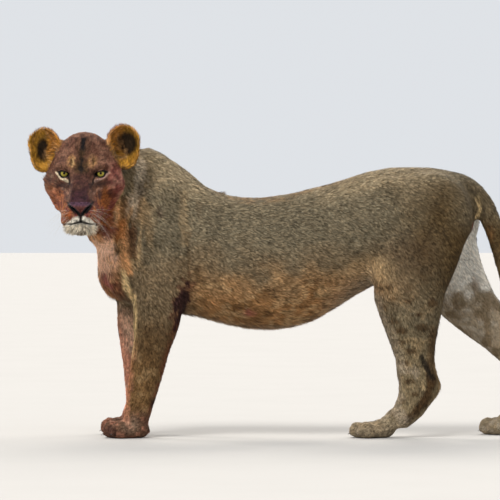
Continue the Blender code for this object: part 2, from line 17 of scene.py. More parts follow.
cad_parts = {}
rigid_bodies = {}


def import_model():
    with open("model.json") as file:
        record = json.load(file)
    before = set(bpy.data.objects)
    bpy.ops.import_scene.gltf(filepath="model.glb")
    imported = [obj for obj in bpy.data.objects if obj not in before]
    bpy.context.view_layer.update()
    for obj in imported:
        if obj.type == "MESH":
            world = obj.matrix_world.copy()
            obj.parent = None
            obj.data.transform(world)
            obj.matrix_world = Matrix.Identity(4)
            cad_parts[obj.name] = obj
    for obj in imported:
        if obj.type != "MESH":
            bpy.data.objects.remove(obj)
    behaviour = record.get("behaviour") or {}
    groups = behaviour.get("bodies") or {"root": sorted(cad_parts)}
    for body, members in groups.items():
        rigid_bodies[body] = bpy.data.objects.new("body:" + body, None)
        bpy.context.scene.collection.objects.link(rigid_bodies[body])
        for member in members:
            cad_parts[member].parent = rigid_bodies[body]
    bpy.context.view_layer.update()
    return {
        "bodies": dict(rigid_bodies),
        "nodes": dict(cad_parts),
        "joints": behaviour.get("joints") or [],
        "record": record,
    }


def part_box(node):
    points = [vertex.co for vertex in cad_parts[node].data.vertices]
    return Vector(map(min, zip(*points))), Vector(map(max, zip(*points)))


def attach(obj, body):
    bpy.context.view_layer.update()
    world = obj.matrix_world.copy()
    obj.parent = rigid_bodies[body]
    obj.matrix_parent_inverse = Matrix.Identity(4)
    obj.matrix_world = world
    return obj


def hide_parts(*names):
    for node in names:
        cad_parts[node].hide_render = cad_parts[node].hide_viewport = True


log = logging.getLogger("lioness")

Array = np.ndarray
Mesh = bpy.types.Mesh
Piece = bpy.types.Object
Colour = tuple[float, float, float]
Line = tuple[tuple[float, ...], ...]
Step = tuple[Array, float, float]
BODY = "root"
SEED = 7
FAR = 9.0
BRIGHTEST = 0.95


# arrays

def unit(vectors: Array) -> Array:
    """Vectors scaled to length 1."""
    return vectors / np.maximum(np.linalg.norm(vectors, axis=-1, keepdims=True), 1e-12)


def fade(values: Array, low: float, high: float) -> Array:
    """A smooth step.

    Args:
        values: Numbers of any shape.
        low: Where the step is 0.
        high: Where it is 1. It may be lower than low.

    Returns:
        Numbers from 0 to 1.
    """
    t = np.clip((values - low) / (high - low), 0.0, 1.0)
    return t * t * (3.0 - 2.0 * t)


def within(*steps: Step) -> Array | float:
    """The product of smooth steps, each of values, where it is 0, and where it is 1."""
    return math.prod(fade(*step) for step in steps)


def blot(
    points: Array, centre: tuple[float, ...], radii: tuple[float, ...], edge: float = 0.6
) -> Array:
    """A soft ellipsoid.

    Args:
        points: The places.
        centre: Its middle.
        radii: Its half sizes.
        edge: Where it starts to fade, as a share of the radii.

    Returns:
        1 inside, 0 outside.
    """
    reach = np.linalg.norm((points - np.array(centre)) / np.array(radii), axis=1)
    return fade(reach, 1.0 + (1.0 - edge), edge)


def hashed(cells: Array, seed: int) -> Array:
    """A steady random number from 0 to 1 for each whole-numbered cell.

    Args:
        cells: Whole numbers, three a row.
        seed: Which numbers.

    Returns:
        One for each row.
    """
    x, y, z = (cells[..., k].astype(np.int64) for k in range(3))
    mixed = (x * 73856093) ^ (y * 19349663) ^ (z * 83492791) ^ (seed * 2654435761)
    mixed = (mixed ^ (mixed >> 13)) * 1274126177
    return ((mixed ^ (mixed >> 16)) & 0xFFFF) / 65535.0


def noise(points: Array, size: float, seed: int = 0) -> Array:
    """Smooth noise.

    Args:
        points: The places.
        size: The distance over which it changes, in metres.
        seed: Which noise.

    Returns:
        A number from 0 to 1 for each place.
    """
    places = points / size
    cells = np.floor(places)
    t = places - cells
    t = t * t * (3.0 - 2.0 * t)
    total = np.zeros(len(points))
    for corner in np.ndindex(2, 2, 2):
        share = np.prod(np.where(np.array(corner) == 1, t, 1.0 - t), axis=1)
        total += share * hashed(cells + np.array(corner), seed)
    return total


def spots(points: Array, size: float, seed: int = 0) -> Array:
    """The distance to the nearest of many scattered dots, as a share of their spacing.

    Args:
        points: The places.
        size: The dots' spacing, in metres.
        seed: Which dots.

    Returns:
        The distance at each place.
    """
    places = points / size
    cells = np.floor(places)
    nearest = np.full(len(points), FAR)
    for corner in np.ndindex(3, 3, 3):
        cell = cells + np.array(corner) - 1
        dot = cell + np.stack([hashed(cell, seed + k) for k in range(3)], axis=1)
        nearest = np.minimum(nearest, np.linalg.norm(places - dot, axis=1))
    return nearest


def numbers(
    items: bpy.types.bpy_prop_collection, name: str, width: int, kind: type = np.float32
) -> Array:
    """One property of every item of a mesh, as an array with a row for each."""
    found = np.empty(len(items) * width, kind)
    items.foreach_get(name, found)
    return found.reshape(-1, width) if width > 1 else found


class Net:
    """A mesh's points and their neighbours, for smoothing."""

    def __init__(self, mesh: Mesh) -> None:
        """Reads the mesh.

        Args:
            mesh: A mesh in which every point has an edge.
        """
        self.mesh = mesh
        self.points = numbers(mesh.vertices, "co", 3).astype(np.float64)
        edges = numbers(mesh.edges, "vertices", 2, np.int32)
        ends = np.concatenate([edges, edges[:, ::-1]])
        ends = ends[np.argsort(ends[:, 0], kind="stable")]
        self.others = ends[:, 1]
        self.starts = np.searchsorted(ends[:, 0], np.arange(len(self.points)))
        self.counts = np.bincount(ends[:, 0], minlength=len(self.points)).astype(np.float64)

    def mean_of_neighbours(self, values: Array) -> Array:
        """Each point's neighbours' mean value."""
        total = np.add.reduceat(values[self.others], self.starts, axis=0)
        return total / (self.counts[:, None] if values.ndim > 1 else self.counts)

    def spread(self, values: Array, turns: int, share: Array | float = 0.6) -> Array:
        """Smooths values over the surface.

        Args:
            values: One number or row for each point.
            turns: How many times each takes up its neighbours' mean.
            share: How much of it, from 0 to 1.

        Returns:
            The smoothed values.
        """
        amount = share[:, None] if isinstance(share, np.ndarray) and values.ndim > 1 else share
        for _ in range(turns):
            values = values + (self.mean_of_neighbours(values) - values) * amount
        return values

    def move(self, points: Array) -> None:
        """Puts the mesh's points at new places."""
        self.points = points
        self.mesh.vertices.foreach_set("co", points.astype(np.float32).ravel())
        self.mesh.update()

    def normals(self) -> Array:
        """The surface's direction at each point."""
        return numbers(self.mesh.vertex_normals, "vector", 3).astype(np.float64)


# regions and places

class Region(Enum):
    """The parts of the animal whose coats differ, with the solids that each covers."""

    FACE = ("head", "lower_jaw", "nose")
    EARS = ("ear_left", "ear_right")
    NECK = ("neck",)
    CHEST = ("chest",)
    BELLY = ("belly",)
    HAUNCHES = ("haunches",)
    FORELEGS = ("foreleg_left", "foreleg_right")
    HIND_LEGS = ("hind_leg_left", "hind_leg_right")
    PAWS = ("fore_paw_left", "fore_paw_right", "hind_paw_left", "hind_paw_right")
    TAIL = ("tail_root", "tail_middle")
    TUFT = ("tail_tuft",)

    @property
    def column(self) -> int:
        """Its place in the order of the regions."""
        return list(Region).index(self)


FLESH = tuple(node for region in Region for node in region.value)


def corners(node: str) -> tuple[Array, Array]:
    """A solid's lowest and highest corners."""
    low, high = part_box(node)
    return np.array(low, float), np.array(high, float)


def middle(node: str) -> Array:
    """The middle of a solid's box."""
    low, high = corners(node)
    return (low + high) / 2


def midline() -> float:
    """Where the animal's middle plane is across the frame."""
    return float(middle("chest")[1])


@dataclass(frozen=True)
class HeadPlace:
    """The head's own axes, from the eye line: across to her left, forward and up."""

    origin: Array
    across: Array
    forward: Array
    eye_radius: float
    eye_across: float
    eye_depth: float = 0.012

    @classmethod
    def from_eyes(cls) -> HeadPlace:
        """Works the place out from the two eyeballs.

        Returns:
            The head's place.
        """
        left, right = middle("eye_left"), middle("eye_right")
        across = unit(left - right)
        forward = unit(np.cross(across, [0.0, 0.0, 1.0]))
        low, high = corners("eye_left")
        return cls(
            origin=(left + right) / 2 + forward * cls.eye_depth,
            across=across,
            forward=forward,
            eye_radius=float(high[2] - low[2]) / 2,
            eye_across=float(np.linalg.norm(left - right)) / 2,
        )

    @property
    def axes(self) -> Array:
        """The three axes, one a row."""
        return np.stack([self.across, self.forward, np.array([0.0, 0.0, 1.0])])

    def local(self, points: Array) -> Array:
        """World places as across, forward and up."""
        return (points - self.origin) @ self.axes.T

    def world(self, points: Array) -> Array:
        """Across, forward and up as world places."""
        return points @ self.axes + self.origin

    def turned(self, vectors: Array) -> Array:
        """A direction in the head's axes as one in the world."""
        return vectors @ self.axes


@dataclass(frozen=True)
class EyeOpening:
    """The almond between the lids, seen from the front, about the eyeball's middle."""

    head: HeadPlace
    side: int
    half_width: float = 0.0175
    upper: float = 0.0054
    lower: float = 0.0094
    slant: float = math.radians(17)

    def plan(self, local: Array) -> tuple[Array, Array]:
        """Distances along the almond, outwards, and up it.

        Args:
            local: The places, in the head's axes.

        Returns:
            The two distances of each place.
        """
        a = local[:, 0] * self.side - self.head.eye_across
        b = local[:, 2]
        c, s = math.cos(self.slant), math.sin(self.slant)
        return a * c + b * s, b * c - a * s

    def outside(self, local: Array) -> Array:
        """How far each place is outside the almond's edge, negative inside it.

        Args:
            local: The places, in the head's axes.

        Returns:
            The distance of each place, in metres.
        """
        along, up = self.plan(local)
        share = np.clip(np.abs(along) / self.half_width, 0.0, 1.0)
        top = self.upper * (1.0 - share**3.2) ** 0.8
        bottom = self.lower * (1.0 - share**2.0) ** 0.9
        beyond = np.maximum(np.abs(along) - self.half_width, 0.0)
        vertical = np.maximum(up - top, -bottom - up)
        return np.where(beyond > 0, np.hypot(beyond, np.maximum(vertical, 0.0)), vertical)


# the coat's plan

@dataclass(frozen=True)
class Hair:
    """The coat of one region, in metres, and how much the skin under it is smoothed."""

    depth: float
    length: float
    width: float
    smoothing: float


HAIRS = {
    Region.FACE: Hair(0.002, 0.0085, 0.0013, 0.1),
    Region.EARS: Hair(0.0012, 0.009, 0.0011, 0.05),
    Region.NECK: Hair(0.006, 0.016, 0.002, 0.75),
    Region.CHEST: Hair(0.005, 0.0135, 0.002, 0.95),
    Region.BELLY: Hair(0.005, 0.015, 0.0022, 0.95),
    Region.HAUNCHES: Hair(0.0045, 0.0132, 0.0021, 0.95),
    Region.FORELEGS: Hair(0.0032, 0.0115, 0.0017, 0.35),
    Region.HIND_LEGS: Hair(0.0034, 0.012, 0.0018, 0.4),
    Region.PAWS: Hair(0.0016, 0.007, 0.0014, 0.08),
    Region.TAIL: Hair(0.0032, 0.012, 0.0017, 0.25),
    Region.TUFT: Hair(0.011, 0.042, 0.0022, 0.25),
}


@dataclass(frozen=True)
class Palette:
    """The animal's colours, linear."""

    # back: a light warm tone for the top of the back, partly its own paler coat and partly painted top light
    back: Colour = (0.295, 0.228, 0.138)
    spine: Colour = (0.210, 0.125, 0.058)
    flank: Colour = (0.150, 0.121, 0.076)
    low_flank: Colour = (0.162, 0.114, 0.064)
    haunch: Colour = (0.068, 0.040, 0.014)
    belly: Colour = (0.366, 0.172, 0.061)
    straw: Colour = (0.450, 0.300, 0.150)
    pale: Colour = (0.330, 0.265, 0.190)
    leg: Colour = (0.142, 0.079, 0.032)
    shin: Colour = (0.195, 0.148, 0.084)
    paw: Colour = (0.130, 0.066, 0.042)
    spot: Colour = (0.052, 0.026, 0.010)
    face: Colour = (0.118, 0.054, 0.036)
    mauve: Colour = (0.230, 0.122, 0.082)
    ginger: Colour = (0.400, 0.130, 0.030)
    crimson: Colour = (0.270, 0.070, 0.064)
    ear: Colour = (0.400, 0.200, 0.028)
    black: Colour = (0.006, 0.005, 0.005)
    cream: Colour = (0.480, 0.330, 0.150)
    white: Colour = (0.620, 0.570, 0.480)
    plum: Colour = (0.038, 0.013, 0.014)
    violet: Colour = (0.050, 0.020, 0.034)
    apricot: Colour = (0.640, 0.320, 0.135)
    drab: Colour = (0.350, 0.280, 0.195)
    tan: Colour = (0.420, 0.220, 0.085)
    snow: Colour = (0.740, 0.700, 0.620)
    rose: Colour = (0.930, 0.585, 0.400)
    blood: Colour = (0.150, 0.045, 0.022)
    clot: Colour = (0.024, 0.010, 0.010)
    leather: Colour = (0.070, 0.019, 0.015)
    milk: Colour = (0.820, 0.720, 0.560)
    salmon: Colour = (0.640, 0.270, 0.170)
    lilac: Colour = (0.330, 0.190, 0.165)
    butter: Colour = (0.800, 0.570, 0.280)


def layered(base: Array | Colour, *layers: tuple[Colour | Array | float | Step, ...]) -> Array:
    """Lays colours over others, one after another.

    Args:
        base: The colours at the bottom, or one for all places.
        layers: Each colour, its amount from 0 to 1, and the smooth steps that limit it.

    Returns:
        A colour for each place.
    """
    mixed = np.asarray(base)
    for colour, amount, *steps in layers:
        for step in steps:
            amount = amount * fade(*step)
        mixed = mixed + (np.array(colour) - mixed) * np.clip(amount, 0.0, 1.0)[:, None]
    return mixed


def crossed(first: Array, second: Array, share: Array) -> Array:
    """Rows that pass from the first to the second by a share from 0 to 1."""
    return first + (second - first) * share[:, None]


# shader expressions

class Wire:
    """A number in a node tree that can be used in an expression."""

    def __init__(self, graph: Graph, socket: bpy.types.NodeSocket) -> None:
        """Wraps an output socket of a graph."""
        self.graph = graph
        self.socket = socket

    def _with(self, operation: str, first: Wire | float, second: Wire | float) -> Wire:
        """One Math node on two values."""
        return self.graph.out("ShaderNodeMath", {"operation": operation}, {0: first, 1: second})

    def __add__(self, other: Wire | float) -> Wire:
        """This plus another."""
        return self._with("ADD", self, other)

    def __radd__(self, other: float) -> Wire:
        """A number plus this."""
        return self._with("ADD", other, self)

    def __sub__(self, other: Wire | float) -> Wire:
        """This less another."""
        return self._with("SUBTRACT", self, other)

    def __rsub__(self, other: float) -> Wire:
        """A number less this."""
        return self._with("SUBTRACT", other, self)

    def __mul__(self, other: Wire | float) -> Wire:
        """This times another."""
        return self._with("MULTIPLY", self, other)

    def __rmul__(self, other: float) -> Wire:
        """A number times this."""
        return self._with("MULTIPLY", other, self)

    def step(self, low: float, high: float, start: float = 0.0, end: float = 1.0) -> Wire:
        """A smooth step from start at low to end at high.

        Args:
            low: Where the step starts.
            high: Where it ends.
            start: The number given below low.
            end: The number given above high.

        Returns:
            The stepped number.
        """
        return self.graph.out(
            "ShaderNodeMapRange",
            {"interpolation_type": "SMOOTHSTEP"},
            {"Value": self, "From Min": low, "From Max": high, "To Min": start, "To Max": end},
        )


Value = Wire | float | tuple[float, ...]
Settings = dict[str, object]
Sockets = dict[str | int, Value]


class Graph:
    """A material's nodes."""

    def __init__(self, name: str) -> None:
        """Starts a material with nothing but its output.

        Args:
            name: The material's name.
        """
        self.material = bpy.data.materials.new(name)
        self.material.use_nodes = True
        self.tree = self.material.node_tree
        self.tree.nodes.clear()

    def node(self, kind: str, settings: Settings, sockets: Sockets) -> bpy.types.Node:
        """Adds a node.

        Args:
            kind: Its type.
            settings: Its properties, set first.
            sockets: A value or link for each input that is not left as it is.

        Returns:
            The node.
        """
        made = self.tree.nodes.new(kind)
        for key, setting in settings.items():
            setattr(made, key, setting)
        for key, value in sockets.items():
            if isinstance(value, Wire):
                self.tree.links.new(value.socket, made.inputs[key])
            else:
                made.inputs[key].default_value = value
        return made

    def out(self, kind: str, settings: Settings, sockets: Sockets, output: str | int = 0) -> Wire:
        """Adds a node and gives one of its outputs."""
        return Wire(self, self.node(kind, settings, sockets).outputs[output])

    def attribute(self, name: str, output: str = "Fac") -> Wire:
        """A value that the mesh carries."""
        return self.out("ShaderNodeAttribute", {"attribute_name": name}, {}, output)

    def place(self) -> Wire:
        """The place on the piece, in metres."""
        return self.out("ShaderNodeTexCoord", {}, {}, "Object")

    def noise(self, scale: float, detail: float = 3.0) -> Wire:
        """Noise over the piece."""
        sockets = {"Vector": self.place(), "Scale": scale, "Detail": detail}
        return self.out("ShaderNodeTexNoise", {}, sockets, "Fac")

    def mix(self, factor: Wire | float, first: Value, second: Value, blend: str = "MIX") -> Wire:
        """Two colours mixed.

        Args:
            factor: How much of the second.
            first: A colour or link.
            second: A colour or link.
            blend: How they mix.

        Returns:
            The mixed colour.
        """
        settings = {"data_type": "RGBA", "blend_type": blend, "clamp_result": False}
        return self.out("ShaderNodeMix", settings, {0: factor, 6: first, 7: second}, 2)

    def bump(self, height: Wire, distance: float, strength: float = 1.0) -> Wire:
        """A Bump node for a height from 0 to 1."""
        sockets = {"Height": height, "Distance": distance, "Strength": strength}
        return self.out("ShaderNodeBump", {}, sockets, "Normal")

    def finish(self, sockets: Sockets) -> bpy.types.Material:
        """Adds the surface.

        Args:
            sockets: What the Principled shader's sockets take.

        Returns:
            The material.
        """
        surface = self.out("ShaderNodeBsdfPrincipled", {}, sockets)
        self.node("ShaderNodeOutputMaterial", {}, {"Surface": surface})
        return self.material


def opaque(colour: Colour) -> tuple[float, float, float, float]:
    """A colour with its alpha."""
    return (*colour, 1.0)


@dataclass(frozen=True)
class SkinFinish:
    """Hide: its marked colour, with pores, and the nose's cobbled leather."""

    name: str = "lion_hide"
    roughness: float = 0.72
    leather_roughness: float = 0.42
    cobbles: float = 1500.0

    def material(self) -> bpy.types.Material:
        """Makes the material.

        Returns:
            The material.
        """
        graph = Graph(self.name)
        leather = graph.attribute("leather")
        grain = graph.noise(420.0, 4.0)
        cobble = graph.out(
            "ShaderNodeTexVoronoi", {}, {"Vector": graph.place(), "Scale": self.cobbles}, "Distance"
        )
        height = grain * (1.0 - leather) + cobble * leather
        shade = graph.out("ShaderNodeValToRGB", {}, {0: grain}, "Color")
        tint = graph.mix(0.5 * (1.0 - leather), opaque((1.0, 1.0, 1.0)), shade, "MULTIPLY")
        colour = graph.mix(1.0, graph.attribute("marks", "Color"), tint, "MULTIPLY")
        return graph.finish({
            "Base Color": colour,
            "Roughness": self.roughness + leather * (self.leather_roughness - self.roughness),
            "Specular IOR Level": 0.12,
            "Normal": graph.bump(height, 0.0006, 0.7),
        })


@dataclass(frozen=True)
class CoatFinish:
    """Short dry hair."""

    name: str = "lion_coat"
    roughness: float = 0.68

    def material(self) -> bpy.types.Material:
        """Makes the material.

        Returns:
            The material.
        """
        graph = Graph(self.name)
        strand = graph.noise(900.0, 2.0)
        shade = strand.step(0.3, 0.7, 0.86, 1.12)
        tone = graph.out("ShaderNodeCombineColor", {}, {0: shade, 1: shade, 2: shade})
        colour = graph.mix(1.0, graph.attribute("marks", "Color"), tone, "MULTIPLY")
        return graph.finish({
            "Base Color": colour,
            "Roughness": self.roughness + 0.2 * (strand - 0.5),
            "Specular IOR Level": 0.07,
        })


@dataclass(frozen=True)
class EyeFinish:
    """A wet eyeball, coloured by the angle from the middle of its pupil, with painted shade of the upper lid over
    the top of the iris.
    """

    name: str = "eyeball"

    def material(self) -> bpy.types.Material:
        """Makes the material.

        Returns:
            The material.
        """
        graph = Graph(self.name)
        reach = graph.attribute("reach")
        fibre = graph.attribute("fibre")
        spread = (reach + 0.1 * (fibre - 0.5)).step(0.3, 0.85)
        iris = graph.mix(spread, opaque((0.3, 0.22, 0.03)), opaque((0.31, 0.275, 0.04)))
        iris = graph.mix(fibre.step(0.2, 0.9, 0.0, 0.45), iris, opaque((0.12, 0.1, 0.025)))
        iris = graph.mix(reach.step(0.78, 1.0), iris, opaque((0.02, 0.018, 0.006)))
        # painted shade: the iris darkens towards its top, standing in for the upper lid's shadow
        shaded = graph.attribute("height").step(0.52, 0.76, 0.0, 0.85)
        iris = graph.mix(shaded, iris, opaque((0.02, 0.016, 0.006)))
        ball = graph.mix(reach.step(0.29, 0.34), opaque((0.002, 0.002, 0.002)), iris)
        ball = graph.mix(reach.step(1.0, 1.06), ball, opaque((0.012, 0.008, 0.006)))
        return graph.finish({
            "Base Color": ball,
            "Roughness": 0.18,
            "Specular IOR Level": 0.08,
            "Coat Weight": 0.12,
            "Coat Roughness": 0.04,
        })


@dataclass(frozen=True)
class HornFinish:
    """Smooth horn or bristle."""

    name: str
    colour: Colour
    roughness: float = 0.4

    def material(self) -> bpy.types.Material:
        """Makes the material.

        Returns:
            The material.
        """
        graph = Graph(self.name)
        grain = graph.noise(260.0, 3.0)
        dark = opaque(tuple(0.6 * c for c in self.colour))
        colour = graph.mix(grain.step(0.35, 0.75), opaque(self.colour), dark)
        return graph.finish({"Base Color": colour, "Roughness": self.roughness + 0.15 * grain})


@dataclass(frozen=True)
class FloorFinish:
    """A matt pale floor."""

    name: str = "studio_floor"
    colour: Colour = (0.37, 0.362, 0.35)

    def material(self) -> bpy.types.Material:
        """Makes the material.

        Returns:
            The material.
        """
        graph = Graph(self.name)
        grain = graph.noise(3.0, 4.0)
        dark = opaque(tuple(0.93 * c for c in self.colour))
        colour = graph.mix(grain.step(0.3, 0.8, 0.0, 0.35), opaque(self.colour), dark)
        return graph.finish({"Base Color": colour, "Roughness": 0.9})


# the face

def to_line(points: Array, line: Line) -> Array:
    """Distance to a line of points.

    Args:
        points: The places.
        line: The line's points, as wide as a place.

    Returns:
        The distance of each place.
    """
    nearest = np.full(len(points), FAR)
    for start, end in zip(line, line[1:]):
        a, b = np.array(start), np.array(end)
        share = np.clip((points - a) @ (b - a) / ((b - a) @ (b - a)), 0.0, 1.0)
        nearest = np.minimum(nearest, np.linalg.norm(points - a - share[:, None] * (b - a), axis=1))
    return nearest


def ridges(
    plane: Array, lines: tuple[tuple[Line, float, float], ...], share: Array | float = 1.0
) -> Array:
    """Heights along lines, which fall away at their sides.

    Args:
        plane: Places, two numbers a row.
        lines: Each line, its reach and its rise, which is negative for a hollow.
        share: How much of the heights each place takes.

    Returns:
        The height at each place.
    """
    height = np.zeros(len(plane))
    for line, reach, rise in lines:
        height += rise * fade(to_line(plane, line), reach, 0.0) * share
    return height


def beside(local: Array) -> Array:
    """Distance from the face's middle line, which bends a little to her left at the nose."""
    up = local[:, 2]
    return np.abs(local[:, 0] - 0.0038 * fade(up, -0.085, -0.12) * fade(up, -0.165, -0.15))


def folded(local: Array) -> Array:
    """Across and up, with both sides of the head on one, for what is seen from the front."""
    return np.stack([beside(local), local[:, 2]], axis=1)


@dataclass(frozen=True)
class Face:
    """The features of the face, in the head's axes."""

    head: HeadPlace
    nose_ups: tuple[float, ...] = (-0.132, -0.122, -0.112, -0.102, -0.093, -0.0865)
    nose_halves: tuple[float, ...] = (0.001, 0.0055, 0.019, 0.032, 0.037, 0.028)
    nostril: Line = (
        (0.0025, -0.128), (0.0105, -0.1195), (0.02, -0.109), (0.0285, -0.1005), (0.0395, -0.088)
    )
    nostril_radius: float = 0.0036
    mouth_up: float = -0.1485
    mouth_drop: float = 0.006
    corner_forward: float = 0.012

    @property
    def openings(self) -> tuple[EyeOpening, EyeOpening]:
        """Both eyes' openings, hers left first."""
        return EyeOpening(self.head, 1), EyeOpening(self.head, -1)

    def beside_eye(self, local: Array) -> Array:
        """Distance outside the nearer eye's opening, and large behind the eyes."""
        nearest = np.minimum(*(opening.outside(local) for opening in self.openings))
        return np.where(local[:, 1] > -0.05, nearest, 1.0)

    def inside_nose(self, local: Array) -> Array:
        """Distance inside the leather's edge, negative outside it.

        Args:
            local: The places, in the head's axes.

        Returns:
            The distance of each place, in metres.
        """
        across, up = beside(local), local[:, 2]
        half = np.interp(up, self.nose_ups, self.nose_halves)
        low, high = self.nose_ups[0], self.nose_ups[-1]
        inside = np.minimum(half - across, np.minimum(high - up, up - low))
        return np.where(local[:, 1] > 0.055, inside, -1.0)

    def to_nostril(self, local: Array) -> Array:
        """Distance from the middle of the nearer nostril."""
        thin = 0.0042 * fade(local[:, 2], -0.106, -0.092) + 0.003 * fade(local[:, 2], -0.119, -0.127)
        return np.where(local[:, 1] > 0.055, to_line(folded(local), self.nostril) + thin, 1.0)

    def over_mouth(self, local: Array) -> Array:
        """Height above the line between the lips."""
        across, forward = beside(local), local[:, 1]
        line = (
            self.mouth_up - self.mouth_drop * fade(across, 0.0, 0.03)
            + 0.009 * fade(forward, 0.055, self.corner_forward)
        )
        return local[:, 2] - line

    def lips(self, local: Array, half: float) -> Array:
        """1 on the line between the lips, 0 beyond half its width."""
        width = half * (1.0 + 1.4 * fade(beside(local), 0.026, 0.004))
        near = fade(np.abs(self.over_mouth(local)), width, 0.0)
        return near * fade(local[:, 1], self.corner_forward - 0.006, self.corner_forward + 0.004)

    def sculpt(self, points: Array, normals: Array) -> Array:
        """Shapes the lids, nostrils, lips and furrows.

        Args:
            points: The skin's places.
            normals: Its directions.

        Returns:
            The new places.
        """
        local = self.head.local(points)
        jaw = (
            fade(np.abs(local[:, 0]), 0.045, 0.08) * fade(local[:, 2], -0.03, -0.09)
            * fade(local[:, 2], -0.165, -0.14)
        )
        local[:, 0] *= 1.0 - 0.155 * jaw * fade(local[:, 1], -0.19, -0.13)
        out = self.lids(local)
        across = self.head.local(points + normals) - self.head.local(points)
        push = np.zeros(len(local))
        reach = self.to_nostril(local)
        push -= 0.0065 * fade(reach, self.nostril_radius, 0.0008)
        push += 0.0012 * fade(reach, self.nostril_radius + 0.0035, self.nostril_radius) * fade(
            reach, self.nostril_radius - 0.001, self.nostril_radius
        )
        middle_line = fade(beside(local), 0.0026, 0.0)
        front = fade(local[:, 1], 0.055, 0.07)
        push -= 0.002 * middle_line * front * fade(local[:, 2], -0.108, -0.114) * fade(local[:, 2], -0.158, -0.15)
        push -= 0.0034 * self.lips(local, 0.0034) * fade(beside(local), 0.055, 0.03)
        push += 0.001 * self.lips(local, 0.01) * fade(np.abs(self.over_mouth(local)), 0.002, 0.005)
        push += (
            0.0006 * fade(self.inside_nose(local), 0.0, 0.004) * fade(reach, 0.003, 0.005)
            * fade(local[:, 2], -0.092, -0.104)
        )
        for opening in self.openings:
            gap = opening.outside(local)
            _, up = opening.plan(local)
            crease = fade(np.abs(gap - 0.007), 0.0022, 0.0) * fade(up, 0.002, 0.007)
            push -= 0.0013 * crease * (local[:, 1] > -0.05)
        push += self.relief(local)
        forehead = (
            fade(np.abs(local[:, 0]), 0.016, 0.0) * fade(local[:, 2], 0.0, 0.03) * fade(local[:, 2], 0.12, 0.08)
        )
        push -= 0.0022 * forehead * (local[:, 1] > -0.05)
        return self.head.world(out + across * push[:, None])

    @staticmethod
    def relief(local: Array) -> Array:
        """The brows, bridge, pads and hollows, as heights over the solids' plain forms.

        Args:
            local: The places, in the head's axes.

        Returns:
            The height at each place.
        """
        front = fade(local[:, 1], -0.06, -0.03)
        return front * ridges(folded(local), (
            (((0.026, 0.018), (0.05, 0.024), (0.08, 0.024)), 0.015, 0.005),
            (((0.012, 0.02), (0.014, 0.06)), 0.01, 0.0018),
            (((0.036, -0.004), (0.035, -0.024)), 0.011, -0.0045),
            (((0.046, -0.03), (0.064, -0.03)), 0.013, -0.0035),
            (((0.062, -0.016), (0.046, -0.021)), 0.006, 0.0012),
            (((0.022, -0.03), (0.024, -0.086)), 0.008, 0.0026),
            (((0.04, -0.045), (0.042, -0.092)), 0.013, -0.0046),
            (((0.022, -0.128), (0.038, -0.126)), 0.017, 0.0042),
            (((0.047, -0.09), (0.054, -0.112), (0.054, -0.14)), 0.008, -0.003),
            (((0.086, -0.08), (0.074, -0.116)), 0.036, -0.006),
            (((0.064, -0.12), (0.056, -0.14)), 0.022, 0.004),
            (((0.036, -0.094), (0.04, -0.1)), 0.006, 0.0018),
        ))

    def lids(self, local: Array) -> Array:
        """Wraps the skin round the eyeballs, and takes it under them inside the lids.

        Args:
            local: The places, in the head's axes.

        Returns:
            The new places.
        """
        out = local.copy()
        radius = self.head.eye_radius
        for opening in self.openings:
            centre = np.array([opening.side * self.head.eye_across, -self.head.eye_depth, 0.0])
            arm = out - centre
            length = np.linalg.norm(arm, axis=1)
            gap = opening.outside(out)
            _, up = opening.plan(out)
            ahead = fade(arm[:, 1], -0.002, 0.004)
            lid = radius + 0.0014 + 0.0012 * fade(up, -0.002, 0.004) + 0.16 * np.maximum(gap, 0.0)
            near = ahead * fade(gap, 0.013, 0.003) * (length < radius + 0.016)
            wanted = np.where(gap > 0.0, lid, radius - 0.0045)
            inside = (gap <= 0.0) & (arm[:, 1] > 0) & (length < radius + 0.012)
            amount = np.where(inside, 1.0, near)
            out = centre + arm * (1.0 + amount * (wanted / np.maximum(length, 1e-6) - 1.0))[:, None]
        return out

    def snapped(self, local: Array, reach: float) -> Array:
        """Slides the places beside the lids' edges on to them, so that the edges run clean.

        Args:
            local: Places in the head's axes.
            reach: How far from an edge a place may be.

        Returns:
            The new places.
        """
        out = local.copy()
        step = 1e-5
        for opening in self.openings:
            gap = opening.outside(out)
            slopes = []
            for axis in (0, 2):
                moved = out.copy()
                moved[:, axis] += step
                slopes.append((opening.outside(moved) - gap) / step)
            slope = unit(np.stack(slopes, axis=1))
            chosen = (np.abs(gap) < reach) & (out[:, 1] > -0.02)
            shift = np.where(chosen, -gap + 1e-6, 0.0)
            out[:, 0] += slope[:, 0] * shift
            out[:, 2] += slope[:, 1] * shift
        return out


# the skin

@dataclass
class Ground:
    """What the coat and the colours need to know of places on the skin, one row for each."""

    points: Array
    normals: Array
    regions: Array
    local: Array
    flow: Array = field(default_factory=lambda: np.zeros((0, 3)))

    def share(self, *regions: Region) -> Array:
        """How far each place belongs to some regions, from 0 to 1."""
        return sum(self.regions[:, region.column] for region in regions)

    def hair(self, size: str) -> Array:
        """One of the coat's sizes, blended where regions meet."""
        return self.regions @ np.array([getattr(HAIRS[region], size) for region in Region])

    def at(self, rows: Array, shares: Array) -> Ground:
        """The same inside triangles.

        Args:
            rows: Each triangle's three rows.
            shares: What each of the three counts for.

        Returns:
            A ground with a row for each triangle given.
        """
        def between(values: Array) -> Array:
            return np.einsum("nk,nkc->nc", shares, values[rows])

        return Ground(
            between(self.points),
            unit(between(self.normals)),
            between(self.regions),
            between(self.local),
            unit(between(self.flow)),
        )


def empty_object(name: str, mesh: Mesh) -> Piece:
    """Puts a mesh in the scene as an object at the origin."""
    made = bpy.data.objects.new(name, mesh)
    bpy.context.scene.collection.objects.link(made)
    return made


def shade_smooth(mesh: Mesh) -> None:
    """Shades every face of a mesh smooth."""
    mesh.polygons.foreach_set("use_smooth", np.ones(len(mesh.polygons), bool))


